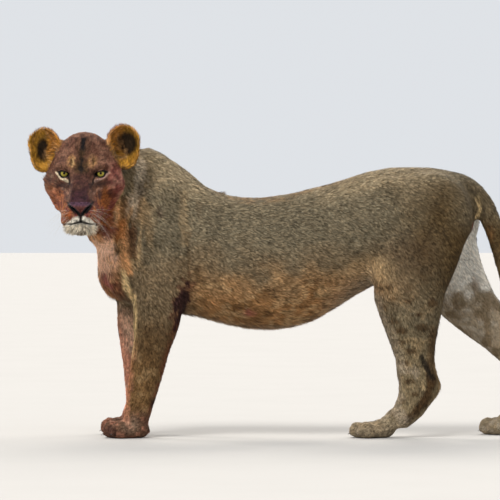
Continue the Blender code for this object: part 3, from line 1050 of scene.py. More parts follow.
def store_values(mesh: Mesh, name: str, values: Array) -> None:
    """Keeps a number for each point under a name that a material reads."""
    layer = mesh.attributes.new(name, "FLOAT", "POINT")
    layer.data.foreach_set("value", values.astype(np.float32))


def evaluated(piece: Piece) -> Mesh:
    """Applies a piece's modifiers, and removes the piece.

    Args:
        piece: An object with modifiers.

    Returns:
        The finished mesh.
    """
    graph = bpy.context.evaluated_depsgraph_get()
    mesh = bpy.data.meshes.new_from_object(piece.evaluated_get(graph))
    old = piece.data
    bpy.data.objects.remove(piece)
    bpy.data.meshes.remove(old)
    return mesh


def rounded_ears(head: HeadPlace, ground: Ground) -> Array:
    """Places of the skin with the ears' square corners drawn in to rounds.

    Args:
        head: The head's place.
        ground: The places.

    Returns:
        The new places.
    """
    plan, _ = ear_plan(head, ground)
    square = np.sum(np.abs(plan) ** 4.0, axis=1) ** 0.25
    circle = np.maximum(np.linalg.norm(plan, axis=1), 1e-6)
    amount = 0.35 * (1.0 - square / circle) * ground.share(Region.EARS) * fade(plan[:, 1], -0.35, 0.1)
    local = ground.local.copy()
    for ear, side in zip(Region.EARS.value, (1, -1)):
        centre = head.local(middle(ear)[None])[0]
        here = np.sign(ground.local[:, 0]) == side
        for axis in (0, 2):
            local[:, axis] -= (local[:, axis] - centre[axis]) * here * amount
        top = here * ground.share(Region.EARS) * fade(plan[:, 1], -0.3, 0.7)
        local[:, 0] -= (side < 0) * 0.006 * top
        local[:, 2] += 0.002 * top
    return head.world(local)


def muscles(ground: Ground) -> Array:
    """Heights of the shoulder's, elbow's, rib's and thigh's soft relief, and the neck's furrows.

    Args:
        ground: The places.

    Returns:
        The height at each place.
    """
    points = ground.points
    near = fade(np.abs(points[:, 1] - midline()), 0.04, 0.09)
    height = ridges(points[:, [0, 2]], (
        (((-0.395, 0.8), (-0.372, 0.69), (-0.362, 0.56), (-0.372, 0.47)), 0.05, -0.006),
        (((-0.44, 0.78), (-0.43, 0.65), (-0.425, 0.54)), 0.055, 0.005),
        (((-0.5, 0.64), (-0.53, 0.56), (-0.52, 0.48)), 0.05, 0.0045),
        (((-0.56, 0.7), (-0.545, 0.6), (-0.56, 0.52)), 0.03, -0.005),
        (((0.15, 0.6), (0.18, 0.53), (0.19, 0.47)), 0.045, -0.006),
        (((0.25, 0.7), (0.235, 0.6), (0.25, 0.5)), 0.07, 0.0045),
        (((0.47, 0.7), (0.455, 0.6), (0.42, 0.52)), 0.06, 0.004),
        (((0.372, 0.28), (0.362, 0.225), (0.372, 0.18)), 0.018, -0.005),
        (
            ((0.294, 0.22), (0.29, 0.18), (0.283, 0.135), (0.262, 0.092), (0.236, 0.064)),
            0.038, 0.0115,
        ),
    ), near)
    trunk = ground.share(Region.NECK, Region.CHEST, Region.BELLY, Region.HAUNCHES)
    furrow = noise(points * np.array([1.0, 1.0, 0.2]), 0.03, 61) - 0.5
    along = points[:, 0]
    crest = 0.0095 + 0.014 * fade(along, -0.42, -0.53) + 0.007 * fade(np.abs(along + 0.39), 0.06, 0.01)
    crest = (crest + 0.005 * fade(along, 0.36, 0.42)) * fade(along, 0.56, 0.44) * fade(along, -0.6, -0.545)
    height += crest * fade(ground.normals[:, 2], 0.15, 0.85) * fade(points[:, 2], 0.6, 0.7)
    height += 0.011 * furrow * ground.share(Region.NECK, Region.CHEST) * fade(points[:, 0], -0.44, -0.54)
    return (
        height * trunk + 0.004 * (noise(points, 0.11, 62) - 0.5) * trunk
        + height * (1.0 - trunk) * (points[:, 2] < 0.5)
    )


@dataclass(frozen=True)
class Paws:
    """Four toes on each paw, with the gaps between them."""

    toes: int = 4
    gap: float = 0.0095
    depth: float = 0.006
    side_gap: float = 0.042

    def relief(self, ground: Ground) -> Array:
        """Heights of the toes and their gaps at each place.

        Args:
            ground: The places.

        Returns:
            The height at each place.
        """
        points = ground.points
        height = np.zeros(len(points))
        for node in Region.PAWS.value:
            low, high = corners(node)
            length = min(high[0] - low[0], 0.15)
            mine = np.all((points > low - 0.01) & (points < high + 0.01), axis=1)
            ahead = fade((points[:, 0] - low[0]) / length, 0.62, 0.38)
            across = (points[:, 1] - low[1]) / (high[1] - low[1]) * self.toes
            beside = np.abs(across - np.clip(np.round(across), 1, self.toes - 1)) * (high[1] - low[1]) / self.toes
            groove = fade(beside, self.gap, 0.0)
            flank = fade(np.abs(ground.normals[:, 1]), 0.35, 0.75) * fade(points[:, 2], 0.055, 0.035)
            notch = fade(np.abs(points[:, 0] - low[0] - self.side_gap), 0.0065, 0.0) * flank
            height -= mine * 0.006 * notch * fade(points[:, 2], 0.001, 0.008)
            above = fade(points[:, 2], 0.001, 0.012)
            height += mine * ahead * above * (0.0022 - self.depth * groove)
        return height


@dataclass
class Skin:
    """The whole hide under the coat, with the face's features, in one mesh."""

    frame: dict
    head: HeadPlace
    face: Face
    voxel: float = 0.0034
    swelling: float = 0.0007
    smooth_turns: int = 40
    triangles: int = 105_000
    head_reach: float = 0.235
    paw_height: float = 0.09
    snap_reach: float = 0.0007

    def build(self) -> Piece:
        """Makes the hide, with its regions and flow kept in self.ground, and its markings on the mesh.

        Returns:
            The piece.
        """
        mesh = self.refined(self.thinned(self.smoothed(self.remeshed())))
        self.shaped(mesh)
        self.ground = self.described(mesh)
        self.dress(mesh)
        piece = empty_object("skin", mesh)
        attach(piece, BODY)
        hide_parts(*FLESH)
        return piece

    def remeshed(self) -> Mesh:
        """Joins the solids, swollen enough to touch, into one closed surface.

        Returns:
            The surface, fine and stepped.
        """
        joined = bmesh.new()
        for node in (*FLESH, "eye_left", "eye_right"):
            joined.from_mesh(self.frame["nodes"][node].data)
        bmesh.ops.remove_doubles(joined, verts=joined.verts, dist=1e-6)
        joined.normal_update()
        for vertex in joined.verts:
            vertex.co += vertex.normal * self.swelling
        mesh = bpy.data.meshes.new("skin_rough")
        joined.to_mesh(mesh)
        joined.free()
        rough = empty_object("skin_rough", mesh)
        join = rough.modifiers.new("join", "REMESH")
        join.mode = "VOXEL"
        join.voxel_size = self.voxel
        mesh = evaluated(rough)
        whole = bmesh.new()
        whole.from_mesh(mesh)
        largest = self.largest_island(whole)
        loose = [vertex for vertex in whole.verts if vertex.index not in largest]
        bmesh.ops.delete(whole, geom=loose, context="VERTS")
        whole.to_mesh(mesh)
        whole.free()
        return mesh

    @staticmethod
    def largest_island(whole: bmesh.types.BMesh) -> set[int]:
        """The points of the largest of a mesh's closed surfaces.

        Args:
            whole: The mesh.

        Returns:
            The numbers of its points.
        """
        whole.verts.ensure_lookup_table()
        seen: set[int] = set()
        best: set[int] = set()
        for start in whole.verts:
            if start.index in seen:
                continue
            island, edge = {start.index}, [start]
            while edge:
                vertex = edge.pop()
                for link in vertex.link_edges:
                    other = link.other_vert(vertex)
                    if other.index not in island:
                        island.add(other.index)
                        edge.append(other)
            seen |= island
            if len(island) > len(best):
                best = island
        return best

    def regions_of(self, points: Array) -> Array:
        """The nearest solid's region for each place, as 1 in its column.

        Args:
            points: The places.

        Returns:
            A row for each place, and a column for each region.
        """
        corners_, faces, owners = [], [], []
        for column, region in enumerate(Region):
            for node in region.value:
                mesh = self.frame["nodes"][node].data
                start = len(corners_)
                corners_.extend(v.co.copy() for v in mesh.vertices)
                for polygon in mesh.polygons:
                    faces.append([start + k for k in polygon.vertices])
                    owners.append(column)
        tree = BVHTree.FromPolygons(corners_, faces)
        table = np.zeros((len(points), len(Region)))
        for row, point in enumerate(points):
            table[row, owners[tree.find_nearest(point)[2]]] = 1.0
        return table

    def surveyed(self, net: Net, turns: int) -> Ground:
        """The ground at a mesh's points.

        Args:
            net: The mesh.
            turns: How far the regions blend where they meet.

        Returns:
            The ground, with no lie of the hair yet.
        """
        table = net.spread(self.regions_of(net.points), turns)
        return Ground(net.points, net.normals(), table, self.head.local(net.points))

    def smoothed(self, mesh: Mesh) -> Mesh:
        """Smooths the solids' flats away, and draws the surface in by the coat's depth.

        Args:
            mesh: The mesh so far.

        Returns:
            The same mesh.
        """
        net = Net(mesh)
        ground = self.surveyed(net, 14)
        net.move(net.spread(net.points, self.smooth_turns, ground.hair("smoothing") * 0.8))
        ground.points, ground.normals = net.points, net.normals()
        depth = ground.hair("depth")
        bare = fade(ground.local[:, 1], -0.03, 0.03) * ground.share(Region.FACE)
        depth = net.spread(depth * (1.0 - 0.55 * bare), 10) + self.swelling
        drawn_in = net.points - ground.normals * depth[:, None]
        net.move(net.spread(drawn_in, 3, 0.3 * np.ones(len(drawn_in)) * ground.hair("smoothing")))
        return mesh

    def thinned(self, mesh: Mesh) -> Mesh:
        """Thins the body's triangles, and spares the head's and those below the paws' height.

        Args:
            mesh: The mesh so far.

        Returns:
            The thinned mesh.
        """
        whole = empty_object("skin_whole", mesh)
        spared = whole.vertex_groups.new(name="spared")
        points = numbers(mesh.vertices, "co", 3)
        reach = np.linalg.norm(points - self.head.origin, axis=1)
        for chosen, weight in (
            (reach < self.head_reach, 0.9),
            ((reach >= self.head_reach) & (points[:, 2] < self.paw_height), 0.5),
        ):
            spared.add(np.flatnonzero(chosen).tolist(), weight, "REPLACE")
        thin = whole.modifiers.new("thin", "DECIMATE")
        thin.vertex_group = spared.name
        thin.invert_vertex_group = True
        thin.vertex_group_factor = 0.02
        thin.ratio = self.triangles / (2 * len(mesh.polygons))
        return evaluated(whole)

    def refined(self, mesh: Mesh) -> Mesh:
        """Divides the face, and twice round the eyes, nose and mouth.

        Args:
            mesh: The mesh so far.

        Returns:
            The same mesh.
        """
        for turn in range(2):
            local = self.head.local(numbers(mesh.vertices, "co", 3).astype(float))
            fine = self.detailed(local, 0.006 if turn else 0.012)
            whole = bmesh.new()
            whole.from_mesh(mesh)
            whole.verts.ensure_lookup_table()
            edges = [e for e in whole.edges if fine[e.verts[0].index] and fine[e.verts[1].index]]
            bmesh.ops.subdivide_edges(whole, edges=edges, cuts=1, use_grid_fill=True)
            bmesh.ops.triangulate(whole, faces=[f for f in whole.faces if len(f.verts) > 3])
            whole.to_mesh(mesh)
            whole.free()
        net = Net(mesh)
        local = self.head.local(net.points)
        near = fade(np.where(self.detailed(local, 0.01), 0.0, 1.0), 1.0, 0.0)
        net.move(net.spread(net.points, 2, 0.5 * near))
        return mesh

    def detailed(self, local: Array, margin: float) -> Array:
        """Where the face has fine features.

        Args:
            local: The places, in the head's axes.
            margin: How far round a feature.

        Returns:
            True where there are.
        """
        return (
            (self.face.beside_eye(local) < margin)
            | (self.face.inside_nose(local) > -margin * 0.6)
            | ((np.abs(self.face.over_mouth(local)) < margin) & (local[:, 1] > 0.0))
        )

    def shaped(self, mesh: Mesh) -> None:
        """Sculpts the face, and lays folds in the hide.

        Args:
            mesh: The mesh so far.
        """
        net = Net(mesh)
        ground = self.surveyed(net, 4)
        net.move(rounded_ears(self.head, ground))
        for heights in (Paws().relief(ground), muscles(ground)):
            net.move(net.points + net.normals() * heights[:, None])
        net.move(self.head.world(self.face.snapped(self.head.local(net.points), self.snap_reach)))
        net.move(self.face.sculpt(net.points, net.normals()))

    def described(self, mesh: Mesh) -> Ground:
        """Works out the regions and the coat's lie over the finished skin.

        Args:
            mesh: The mesh so far.

        Returns:
            The ground at the mesh's points.
        """
        net = Net(mesh)
        ground = self.surveyed(net, 16)
        lie = Lie(self.head).flow(ground)
        for _ in range(4):
            lie = net.spread(lie, 6)
            lie = unit(lie - ground.normals * np.sum(lie * ground.normals, axis=1)[:, None])
        ground.flow = lie
        return ground

    def dress(self, mesh: Mesh) -> None:
        """Gives the skin its markings and material.

        Args:
            mesh: The mesh so far.
        """
        shade_smooth(mesh)
        store_colours(mesh, Markings(self.head, self.face).colours(self.ground))
        inside = fade(self.face.inside_nose(self.ground.local), -0.0005, 0.0008)
        store_values(mesh, "leather", inside)
        mesh.materials.append(SkinFinish().material())


def store_colours(mesh: Mesh, colours: Array) -> None:
    """Keeps a colour for each point under the name that the materials read.

    Args:
        mesh: The mesh.
        colours: A colour for each point.
    """
    layer = mesh.attributes.new("marks", "FLOAT_COLOR", "POINT")
    full = np.ones((len(colours), 4), np.float32)
    full[:, :3] = colours / np.maximum(colours.max(axis=1, keepdims=True) / BRIGHTEST, 1.0)
    layer.data.foreach_set("color", full.ravel())


# the lie of the coat

@dataclass(frozen=True)
class Lie:
    """Which way the hair points, region by region."""

    head: HeadPlace
    nose: tuple[float, float, float] = (0.0, 0.07, -0.105)
    chin: tuple[float, float, float] = (0.0, 0.06, -0.155)

    def flow(self, ground: Ground) -> Array:
        """The direction of the hair at each place.

        Args:
            ground: The places.

        Returns:
            A direction for each place.
        """
        points, local = ground.points, ground.local
        total = np.zeros_like(points)
        for region, direction in (
            (Region.NECK, (0.75, 0.1, -0.65)),
            (Region.CHEST, (0.8, 0.0, -0.6)),
            (Region.BELLY, (1.0, 0.0, -0.22)),
            (Region.HAUNCHES, (0.75, 0.0, -0.65)),
            (Region.FORELEGS, (0.22, 0.0, -1.0)),
            (Region.HIND_LEGS, (0.3, 0.0, -1.0)),
            (Region.PAWS, (-0.9, 0.0, -0.45)),
        ):
            total += ground.share(region)[:, None] * unit(np.array(direction))
        face = unit(local - np.array(self.nose))
        below = fade(local[:, 2], -0.15, -0.165)[:, None]
        face = face * (1.0 - below) + below * unit(local - np.array(self.chin) + np.array([0.0, -0.02, -0.02]))
        total += ground.share(Region.FACE)[:, None] * self.head.turned(face)
        plan, facing = ear_plan(self.head, ground)
        sweep = (fade(facing, 0.1, 0.5) * fade(plan[:, 0], 0.1, -0.4))[:, None]
        outward = np.zeros_like(local)
        outward[:, 0], outward[:, 2] = np.sign(local[:, 0]), -0.35
        outward = self.head.turned(outward)
        over_ear = self.from_ear_bases(points) * (1.0 - sweep) + outward * sweep
        total += ground.share(Region.EARS)[:, None] * over_ear
        total += ground.share(Region.TAIL, Region.TUFT)[:, None] * self.along_tail(ground)
        swirl = np.stack([noise(points, 0.07, SEED + k) for k in range(3)], axis=1) - 0.5
        return unit(total + 0.35 * swirl)

    @staticmethod
    def from_ear_bases(points: Array) -> Array:
        """Away from the nearer ear's root.

        Args:
            points: The places.

        Returns:
            A direction for each place.
        """
        arms = []
        for ear in Region.EARS.value:
            low, high = corners(ear)
            root = np.array([(low[0] + high[0]) / 2, (low[1] + high[1]) / 2 + 0.01, low[2] + 0.01])
            arms.append(points - root)
        nearer = np.linalg.norm(arms[0], axis=1) < np.linalg.norm(arms[1], axis=1)
        return unit(np.where(nearer[:, None], arms[0], arms[1]))

    @staticmethod
    def along_tail(ground: Ground) -> Array:
        """Down the tail's own bend.

        Args:
            ground: The places.

        Returns:
            A direction for each place.
        """
        chosen = ground.share(Region.TAIL, Region.TUFT) > 0.5
        heights = np.linspace(ground.points[chosen, 2].min(), ground.points[chosen, 2].max(), 24)
        z = ground.points[:, 2]
        rings = (chosen & (np.abs(z - height) < 0.025) for height in heights)
        slopes = np.gradient(np.stack([ground.points[ring].mean(axis=0) for ring in rings]), axis=0)
        return -unit(np.stack([np.interp(z, heights, slopes[:, k]) for k in range(3)], axis=1))


# colours

@dataclass(frozen=True)
class Markings:
    """The colours of the hide and the coat, by place."""

    head: HeadPlace
    face: Face
    palette: Palette = Palette()

    def colours(self, ground: Ground) -> Array:
        """The colour at each place.

        Args:
            ground: The places.

        Returns:
            The colours.
        """
        limb = ground.share(Region.FORELEGS, Region.HIND_LEGS, Region.PAWS)
        edge = 0.25 * (noise(ground.points, 0.012, 31) - 0.5)
        colour = self.trunk(ground)
        for part, share in (
            (self.limbs, fade(limb, 0.1, 0.9)),
            (self.tail, ground.share(Region.TAIL, Region.TUFT)),
            (self.countenance, fade(ground.share(Region.FACE) + edge, 0.25, 0.75)),
            (self.ears, fade(ground.share(Region.EARS), 0.3, 0.7)),
        ):
            colour = crossed(colour, part(ground), share)
        drawn = ground.points - 0.55 * ground.flow * np.sum(ground.points * ground.flow, axis=1)[:, None]
        grain = 1.45 * (noise(ground.points, 0.0042, 3) - 0.5) + 0.2 * (noise(drawn, 0.0075, 6) - 0.5)
        broad = 0.12 * (noise(ground.points, 0.06, 4) - 0.5)
        inner = self.inner_thigh(ground) * fade(ground.points[:, 0], 0.1, 0.2)
        quiet = 1.0 - 0.65 * inner
        return np.maximum(colour * (1.0 + grain * quiet + broad)[:, None], 0.0)

    def trunk(self, ground: Ground) -> Array:
        """Neck, chest, flanks, belly and haunches.

        Args:
            ground: The places.

        Returns:
            The colours.
        """
        p = self.palette
        points = ground.points
        _, aside, upward = ground.normals.T
        x, _, z = points.T
        ragged = 0.07 * (noise(points, 0.05, 5) - 0.5)
        mottle = noise(points, 0.018, 12)
        under = within((z + 1.3 * ragged, 0.54, 0.42), (x, -0.44, -0.3), (x, 0.36, 0.2))
        swirls = fade(noise(points * np.array([0.45, 0.45, 1.0]), 0.022, 13), 0.42, 0.66)
        dots = spots(points, 0.046, 11) + 0.3 * (mottle - 0.5)
        dots = within((dots, 0.46, 0.2), (z, 0.55, 0.48), (x, -0.4, -0.28))
        flecks = fade(spots(points, 0.046, 21) + 0.3 * (noise(points, 0.016, 23) - 0.5), 0.5, 0.26)
        colour = layered(
            p.flank,
            (p.haunch, 0.95, (x + ragged, 0.18, 0.46), (upward, 0.9, 0.4)),
            (p.low_flank, 1.0, (z + ragged, 0.64, 0.52), (x, 0.45, 0.2)),
            # lighter where the back faces up: partly its own paler coat, partly painted top light
            (p.back, 0.8, (z + ragged, 0.7, 0.8), (upward, 0.0, 0.7), (x, 0.5, 0.3)),
            (p.spot, 0.9 * blot(points, (-0.2745, midline(), 0.778), (0.012, 0.04, 0.035), 0.5),
             (upward, 0.3, 0.7)),
            (p.spine, 0.75, (upward + ragged, 0.8, 0.98), (x, 0.24, -0.08), (x, -0.4, -0.22), (z, 0.6, 0.7),
             (mottle, 0.2, 0.6)),
            (p.straw, 0.62 * under),
            (p.belly, 0.75 * under),
            (p.spot, 0.34 * under * swirls),
            (p.spot, 0.46 * dots),
            (p.spot, 0.3 * flecks, (z, 0.56, 0.5), (x, 0.17, 0.24), (x, 0.42, 0.34)),
            (p.spot, 0.5 * blot(points[:, [0, 2]], (0.31, 0.585), (0.085, 0.055), 0.2),
             (np.abs(aside), 0.2, 0.6)),
            (p.spot, 0.14 * blot(points[:, [0, 2]], (0.33, 0.805), (0.09, 0.025), 0.2)),
            (p.flank, 0.5, (x, 0.4, 0.49), (z, 0.62, 0.71)),
        )
        colour = self.thigh_spots(ground, colour)
        sore = blot(points, (-0.19, -0.02, 0.396), (0.018, 0.08, 0.013), 0.3)
        colour = layered(
            colour,
            (p.straw, 0.55 * under, (mottle, 0.5, 0.75)),
            (p.pale, 0.35, (upward, -0.85, -0.98), (x, -0.5, -0.3)),
            (p.straw, 0.65 * blot(points, (0.19, -0.02, 0.525), (0.06, 0.1, 0.04), 0.2)),
            (p.pale, 0.55 * blot(points, (0.2, 0.13, 0.44), (0.2, 0.14, 0.14))),
            (p.crimson, 0.65 * sore, (mottle, 0.1, 0.5)),
            (p.drab, 0.9 * self.inner_thigh(ground), (x, 0.3, 0.4)),
        )
        colour = self.inside(ground, colour)
        colour = layered(
            colour,
            (p.cream, 0.85 * blot(points, (0.56, 0.03, 0.715), (0.013, 0.03, 0.032), 0.3)),
            (p.ginger, 0.14 * blot(points, (0.572, 0.08, 0.64), (0.012, 0.04, 0.03), 0.3)),
        )
        return self.breast(ground, colour)

    def inner_thigh(self, ground: Ground) -> Array:
        """1 on the inner sides of the hind legs, up to the rump."""
        inward = ground.normals[:, 1] * np.sign(midline() - ground.points[:, 1])
        return fade(inward, -0.05, 0.45)

    @staticmethod
    def near_side(points: Array) -> Array:
        """1 on the near side of the middle plane."""
        return fade(points[:, 1], midline() + 0.06, midline())

    def inside(self, ground: Ground, colour: Array) -> Array:
        """Lays the white and the brown patches of the legs' inner sides over a colour.

        Args:
            ground: The places.
            colour: The colours so far.

        Returns:
            The colours.
        """
        p = self.palette
        points = ground.points
        x, _, z = points.T
        inner = self.inner_thigh(ground) * fade(x, 0.3, 0.42)
        ragged = noise(points, 0.03, 71)
        strands = noise(points * np.array([0.35, 1.0, 0.6]), 0.008, 72)
        spot = blot(points[:, [0, 2]], (0.529, 0.484), (0.012, 0.022), 0.2)
        return layered(
            colour,
            (p.snow, 0.95 * inner, (z + 0.06 * (ragged - 0.5), 0.43, 0.485)),
            (p.snow, (0.18 + 0.46 * fade(z, 0.42, 0.53)) * inner, (strands, 0.45, 0.7), (ragged, 0.3, 0.55)),
            (p.low_flank, 0.75 * inner, (ragged, 0.5, 0.34), (z, 0.5, 0.42)),
            (p.leg, 0.6 * inner * spot),
        )

    def thigh_spots(self, ground: Ground, colour: Array) -> Array:
        """Lays the brown ovals down the front and middle of the near hind leg over a colour.

        Args:
            ground: The places.
            colour: The colours so far.

        Returns:
            The colours.
        """
        points = ground.points
        near = self.near_side(points)
        ragged = 1.0 + 0.8 * (noise(points, 0.012, 74) - 0.5)
        for x, z, wide, high in (
            (0.234, 0.481, 0.021, 0.01), (0.23, 0.418, 0.019, 0.01), (0.266, 0.373, 0.02, 0.01),
            (0.292, 0.345, 0.018, 0.011), (0.353, 0.355, 0.022, 0.013), (0.388, 0.431, 0.019, 0.014),
            (0.281, 0.309, 0.021, 0.01), (0.297, 0.244, 0.018, 0.009), (0.321, 0.278, 0.017, 0.01),
            (0.317, 0.186, 0.017, 0.009), (0.335, 0.144, 0.014, 0.011), (0.295, 0.125, 0.016, 0.008),
            (0.272, 0.079, 0.013, 0.009), (0.31, 0.436, 0.015, 0.009), (0.345, 0.395, 0.014, 0.009),
            (0.262, 0.445, 0.013, 0.008),
        ):
            reach = np.linalg.norm((points[:, [0, 2]] - [x, z]) / [wide, high], axis=1) * ragged
            colour = layered(colour, (self.palette.spot, 0.74 * near, (reach, 1.3, 0.5)))
        return colour

    def streaks(self, ground: Ground, colour: Array) -> Array:
        """Lays the near side's light and dark bands over a colour: some are the coat's own, and some are painted
        shade and painted light.

        Args:
            ground: The places.
            colour: The colours so far.

        Returns:
            The colours.
        """
        p = self.palette
        plane = ground.points[:, [0, 2]]
        near = self.near_side(ground.points)
        ragged = 1.0 + 0.9 * (noise(ground.points * np.array([1.0, 1.0, 0.3]), 0.012, 73) - 0.5)
        for line, reach, shade, amount in (
            (((-0.532, 0.86), (-0.536, 0.78), (-0.556, 0.71)), 0.028, p.drab, 0.88),
            (((-0.556, 0.72), (-0.576, 0.67), (-0.588, 0.6), (-0.566, 0.535)), 0.014, p.tan, 0.6),
            (((-0.53, 0.79), (-0.52, 0.7), (-0.5, 0.64)), 0.026, p.spot, 0.42),
            (((-0.47, 0.72), (-0.462, 0.7)), 0.012, p.plum, 0.4),
            (((-0.352, 0.53), (-0.342, 0.5)), 0.022, p.spot, 0.62),
            (((0.2, 0.462), (0.219, 0.4), (0.254, 0.338), (0.279, 0.275), (0.29, 0.228)), 0.024, p.drab, 0.42),
            # painted shade down the back of the hock and along the rear edge of the metatarsus
            (((0.396, 0.33), (0.394, 0.26), (0.388, 0.2)), 0.03, p.spot, 0.76),
            (((0.384, 0.175), (0.37, 0.13), (0.337, 0.084), (0.318, 0.064)), 0.023, p.spot, 0.9),
            (((0.285, 0.222), (0.338, 0.214)), 0.022, p.pale, 0.5),
            (((0.286, 0.086), (0.304, 0.06)), 0.024, p.pale, 0.55),
            (((0.292, 0.135), (0.268, 0.095), (0.236, 0.068)), 0.022, p.drab, 0.5),
            # painted shade: a black line in the hollow beside the hock's tendon
            (((0.3537, 0.2637), (0.3628, 0.2437), (0.3763, 0.2215), (0.3894, 0.1946)), 0.0115, p.black, 0.82),
            (((0.53, 0.757), (0.541, 0.737), (0.541, 0.718), (0.533, 0.7)), 0.0072, p.butter, 0.66),
            (((0.5235, 0.676), (0.521, 0.66)), 0.01, p.blood, 0.8),
            # painted shadow: a dark line where the tail hangs against the rump
            (((0.516, 0.778), (0.537, 0.752), (0.552, 0.728), (0.554, 0.7)), 0.007, p.black, 0.6),
            # painted shade in the gap at the near haunch's rear edge
            (((0.452, 0.49), (0.456, 0.455)), 0.018, p.spot, 0.6),
            (((-0.4, 0.4), (-0.412, 0.35)), 0.01, p.plum, 0.7),
            (((-0.544, 0.452), (-0.5385, 0.4), (-0.5425, 0.34), (-0.548, 0.26)), 0.008, p.butter, 0.66),
            # painted shadow under the jaw and down the throat
            (((-0.586, 0.76), (-0.59, 0.69), (-0.602, 0.64)), 0.014, p.spot, 0.7),
            (((-0.61, 0.66), (-0.6, 0.59)), 0.01, p.spot, 0.55),
            (((-0.578, 0.66), (-0.578, 0.59), (-0.566, 0.53)), 0.02, p.apricot, 0.75),
            (((-0.59, 0.68), (-0.592, 0.64)), 0.022, p.ginger, 0.55),
            (((-0.556, 0.655), (-0.552, 0.58)), 0.02, p.blood, 0.5),
            (((-0.556, 0.655), (-0.552, 0.58)), 0.016, p.spot, 0.62),
            (((-0.582, 0.528), (-0.571, 0.48), (-0.554, 0.436)), 0.0125, p.butter, 0.8),
            # painted light on the shoulder's rear edge, and painted shade in the groove behind it
            (((-0.393, 0.77), (-0.39, 0.62)), 0.02, p.straw, 0.24),
            (((-0.384, 0.64), (-0.378, 0.56), (-0.378, 0.47)), 0.01, p.spot, 0.4),
            (((-0.35, 0.74), (-0.346, 0.7)), 0.014, p.spot, 0.3),
        ):
            band = fade(to_line(plane, line) * ragged, reach, 0.3 * reach)
            colour = layered(colour, (shade, amount * near * band))
        return colour

    def breast(self, ground: Ground, colour: Array) -> Array:
        """Lays the chest's and neck's own marks over the trunk's colour.

        Args:
            ground: The places.
            colour: The colours so far.

        Returns:
            The colours.
        """
        p = self.palette
        points = ground.points
        x, y, z = points.T
        mottle = noise(points, 0.018, 12)
        streak = noise(points * np.array([1.0, 1.0, 0.22]), 0.014, 14)
        neck = ground.share(Region.NECK) + fade(x, -0.46, -0.56) * fade(z, 0.5, 0.6)
        front = within((x - 0.25 * (z - 0.6), -0.545, -0.61), (z, 0.78, 0.72), (y, 0.2, 0.12))
        torn = (noise(points, 0.03, 15) - 0.5) * 0.05
        loose = points + np.stack([torn, 0.0 * torn, torn], axis=1)
        colour = layered(
            colour,
            (p.straw, 0.74 * np.clip(neck, 0, 1), (streak, 0.38, 0.66), (z, 0.86, 0.74)),
            (p.spot, 0.2 * np.clip(neck, 0, 1), (streak, 0.42, 0.25), (z, 0.8, 0.66)),
            (p.haunch, 0.46 * np.clip(neck, 0, 1), (z, 0.76, 0.83)),
            (p.apricot, 0.9 * front, (streak, 0.05, 0.4)),
            (p.spot, 0.25 * front, (streak, 0.36, 0.2)),
            # a pink stain on the chest, made bright as a painted highlight
            (p.rose, 0.92 * blot(loose, (-0.652, -0.01, 0.567), (0.048, 0.12, 0.066), 0.5), (mottle, -0.1, 0.35)),
            (p.blood, 0.8 * blot(loose, (-0.625, 0.0, 0.482), (0.05, 0.12, 0.055), 0.5), (mottle, 0.1, 0.45)),
            (p.crimson, 0.62 * blot(loose, (-0.642, -0.01, 0.5), (0.036, 0.095, 0.034), 0.7), (mottle, 0.0, 0.45)),
        )
        return self.clotted(ground, self.streaks(ground, colour))

    def clotted(self, ground: Ground, colour: Array) -> Array:
        """Lays the dark patch behind the near elbow over a colour.

        Args:
            ground: The places.
            colour: The colours so far.

        Returns:
            The colours.
        """
        points = ground.points
        lean = points + np.outer(points[:, 2] - 0.426, [-0.12, 0.0, 0.0])
        edge = 1.0 + 0.9 * (noise(points, 0.012, 22) - 0.5)
        reach = np.linalg.norm((lean - [-0.396, -0.04, 0.418]) / [0.026, 0.075, 0.075], axis=1) * edge
        return layered(
            colour,
            (self.palette.blood, 0.45, (reach, 1.3, 0.95)),
            (self.palette.clot, 0.95, (reach, 1.15, 0.75), (noise(points, 0.01, 25), 0.1, 0.4)),
        )

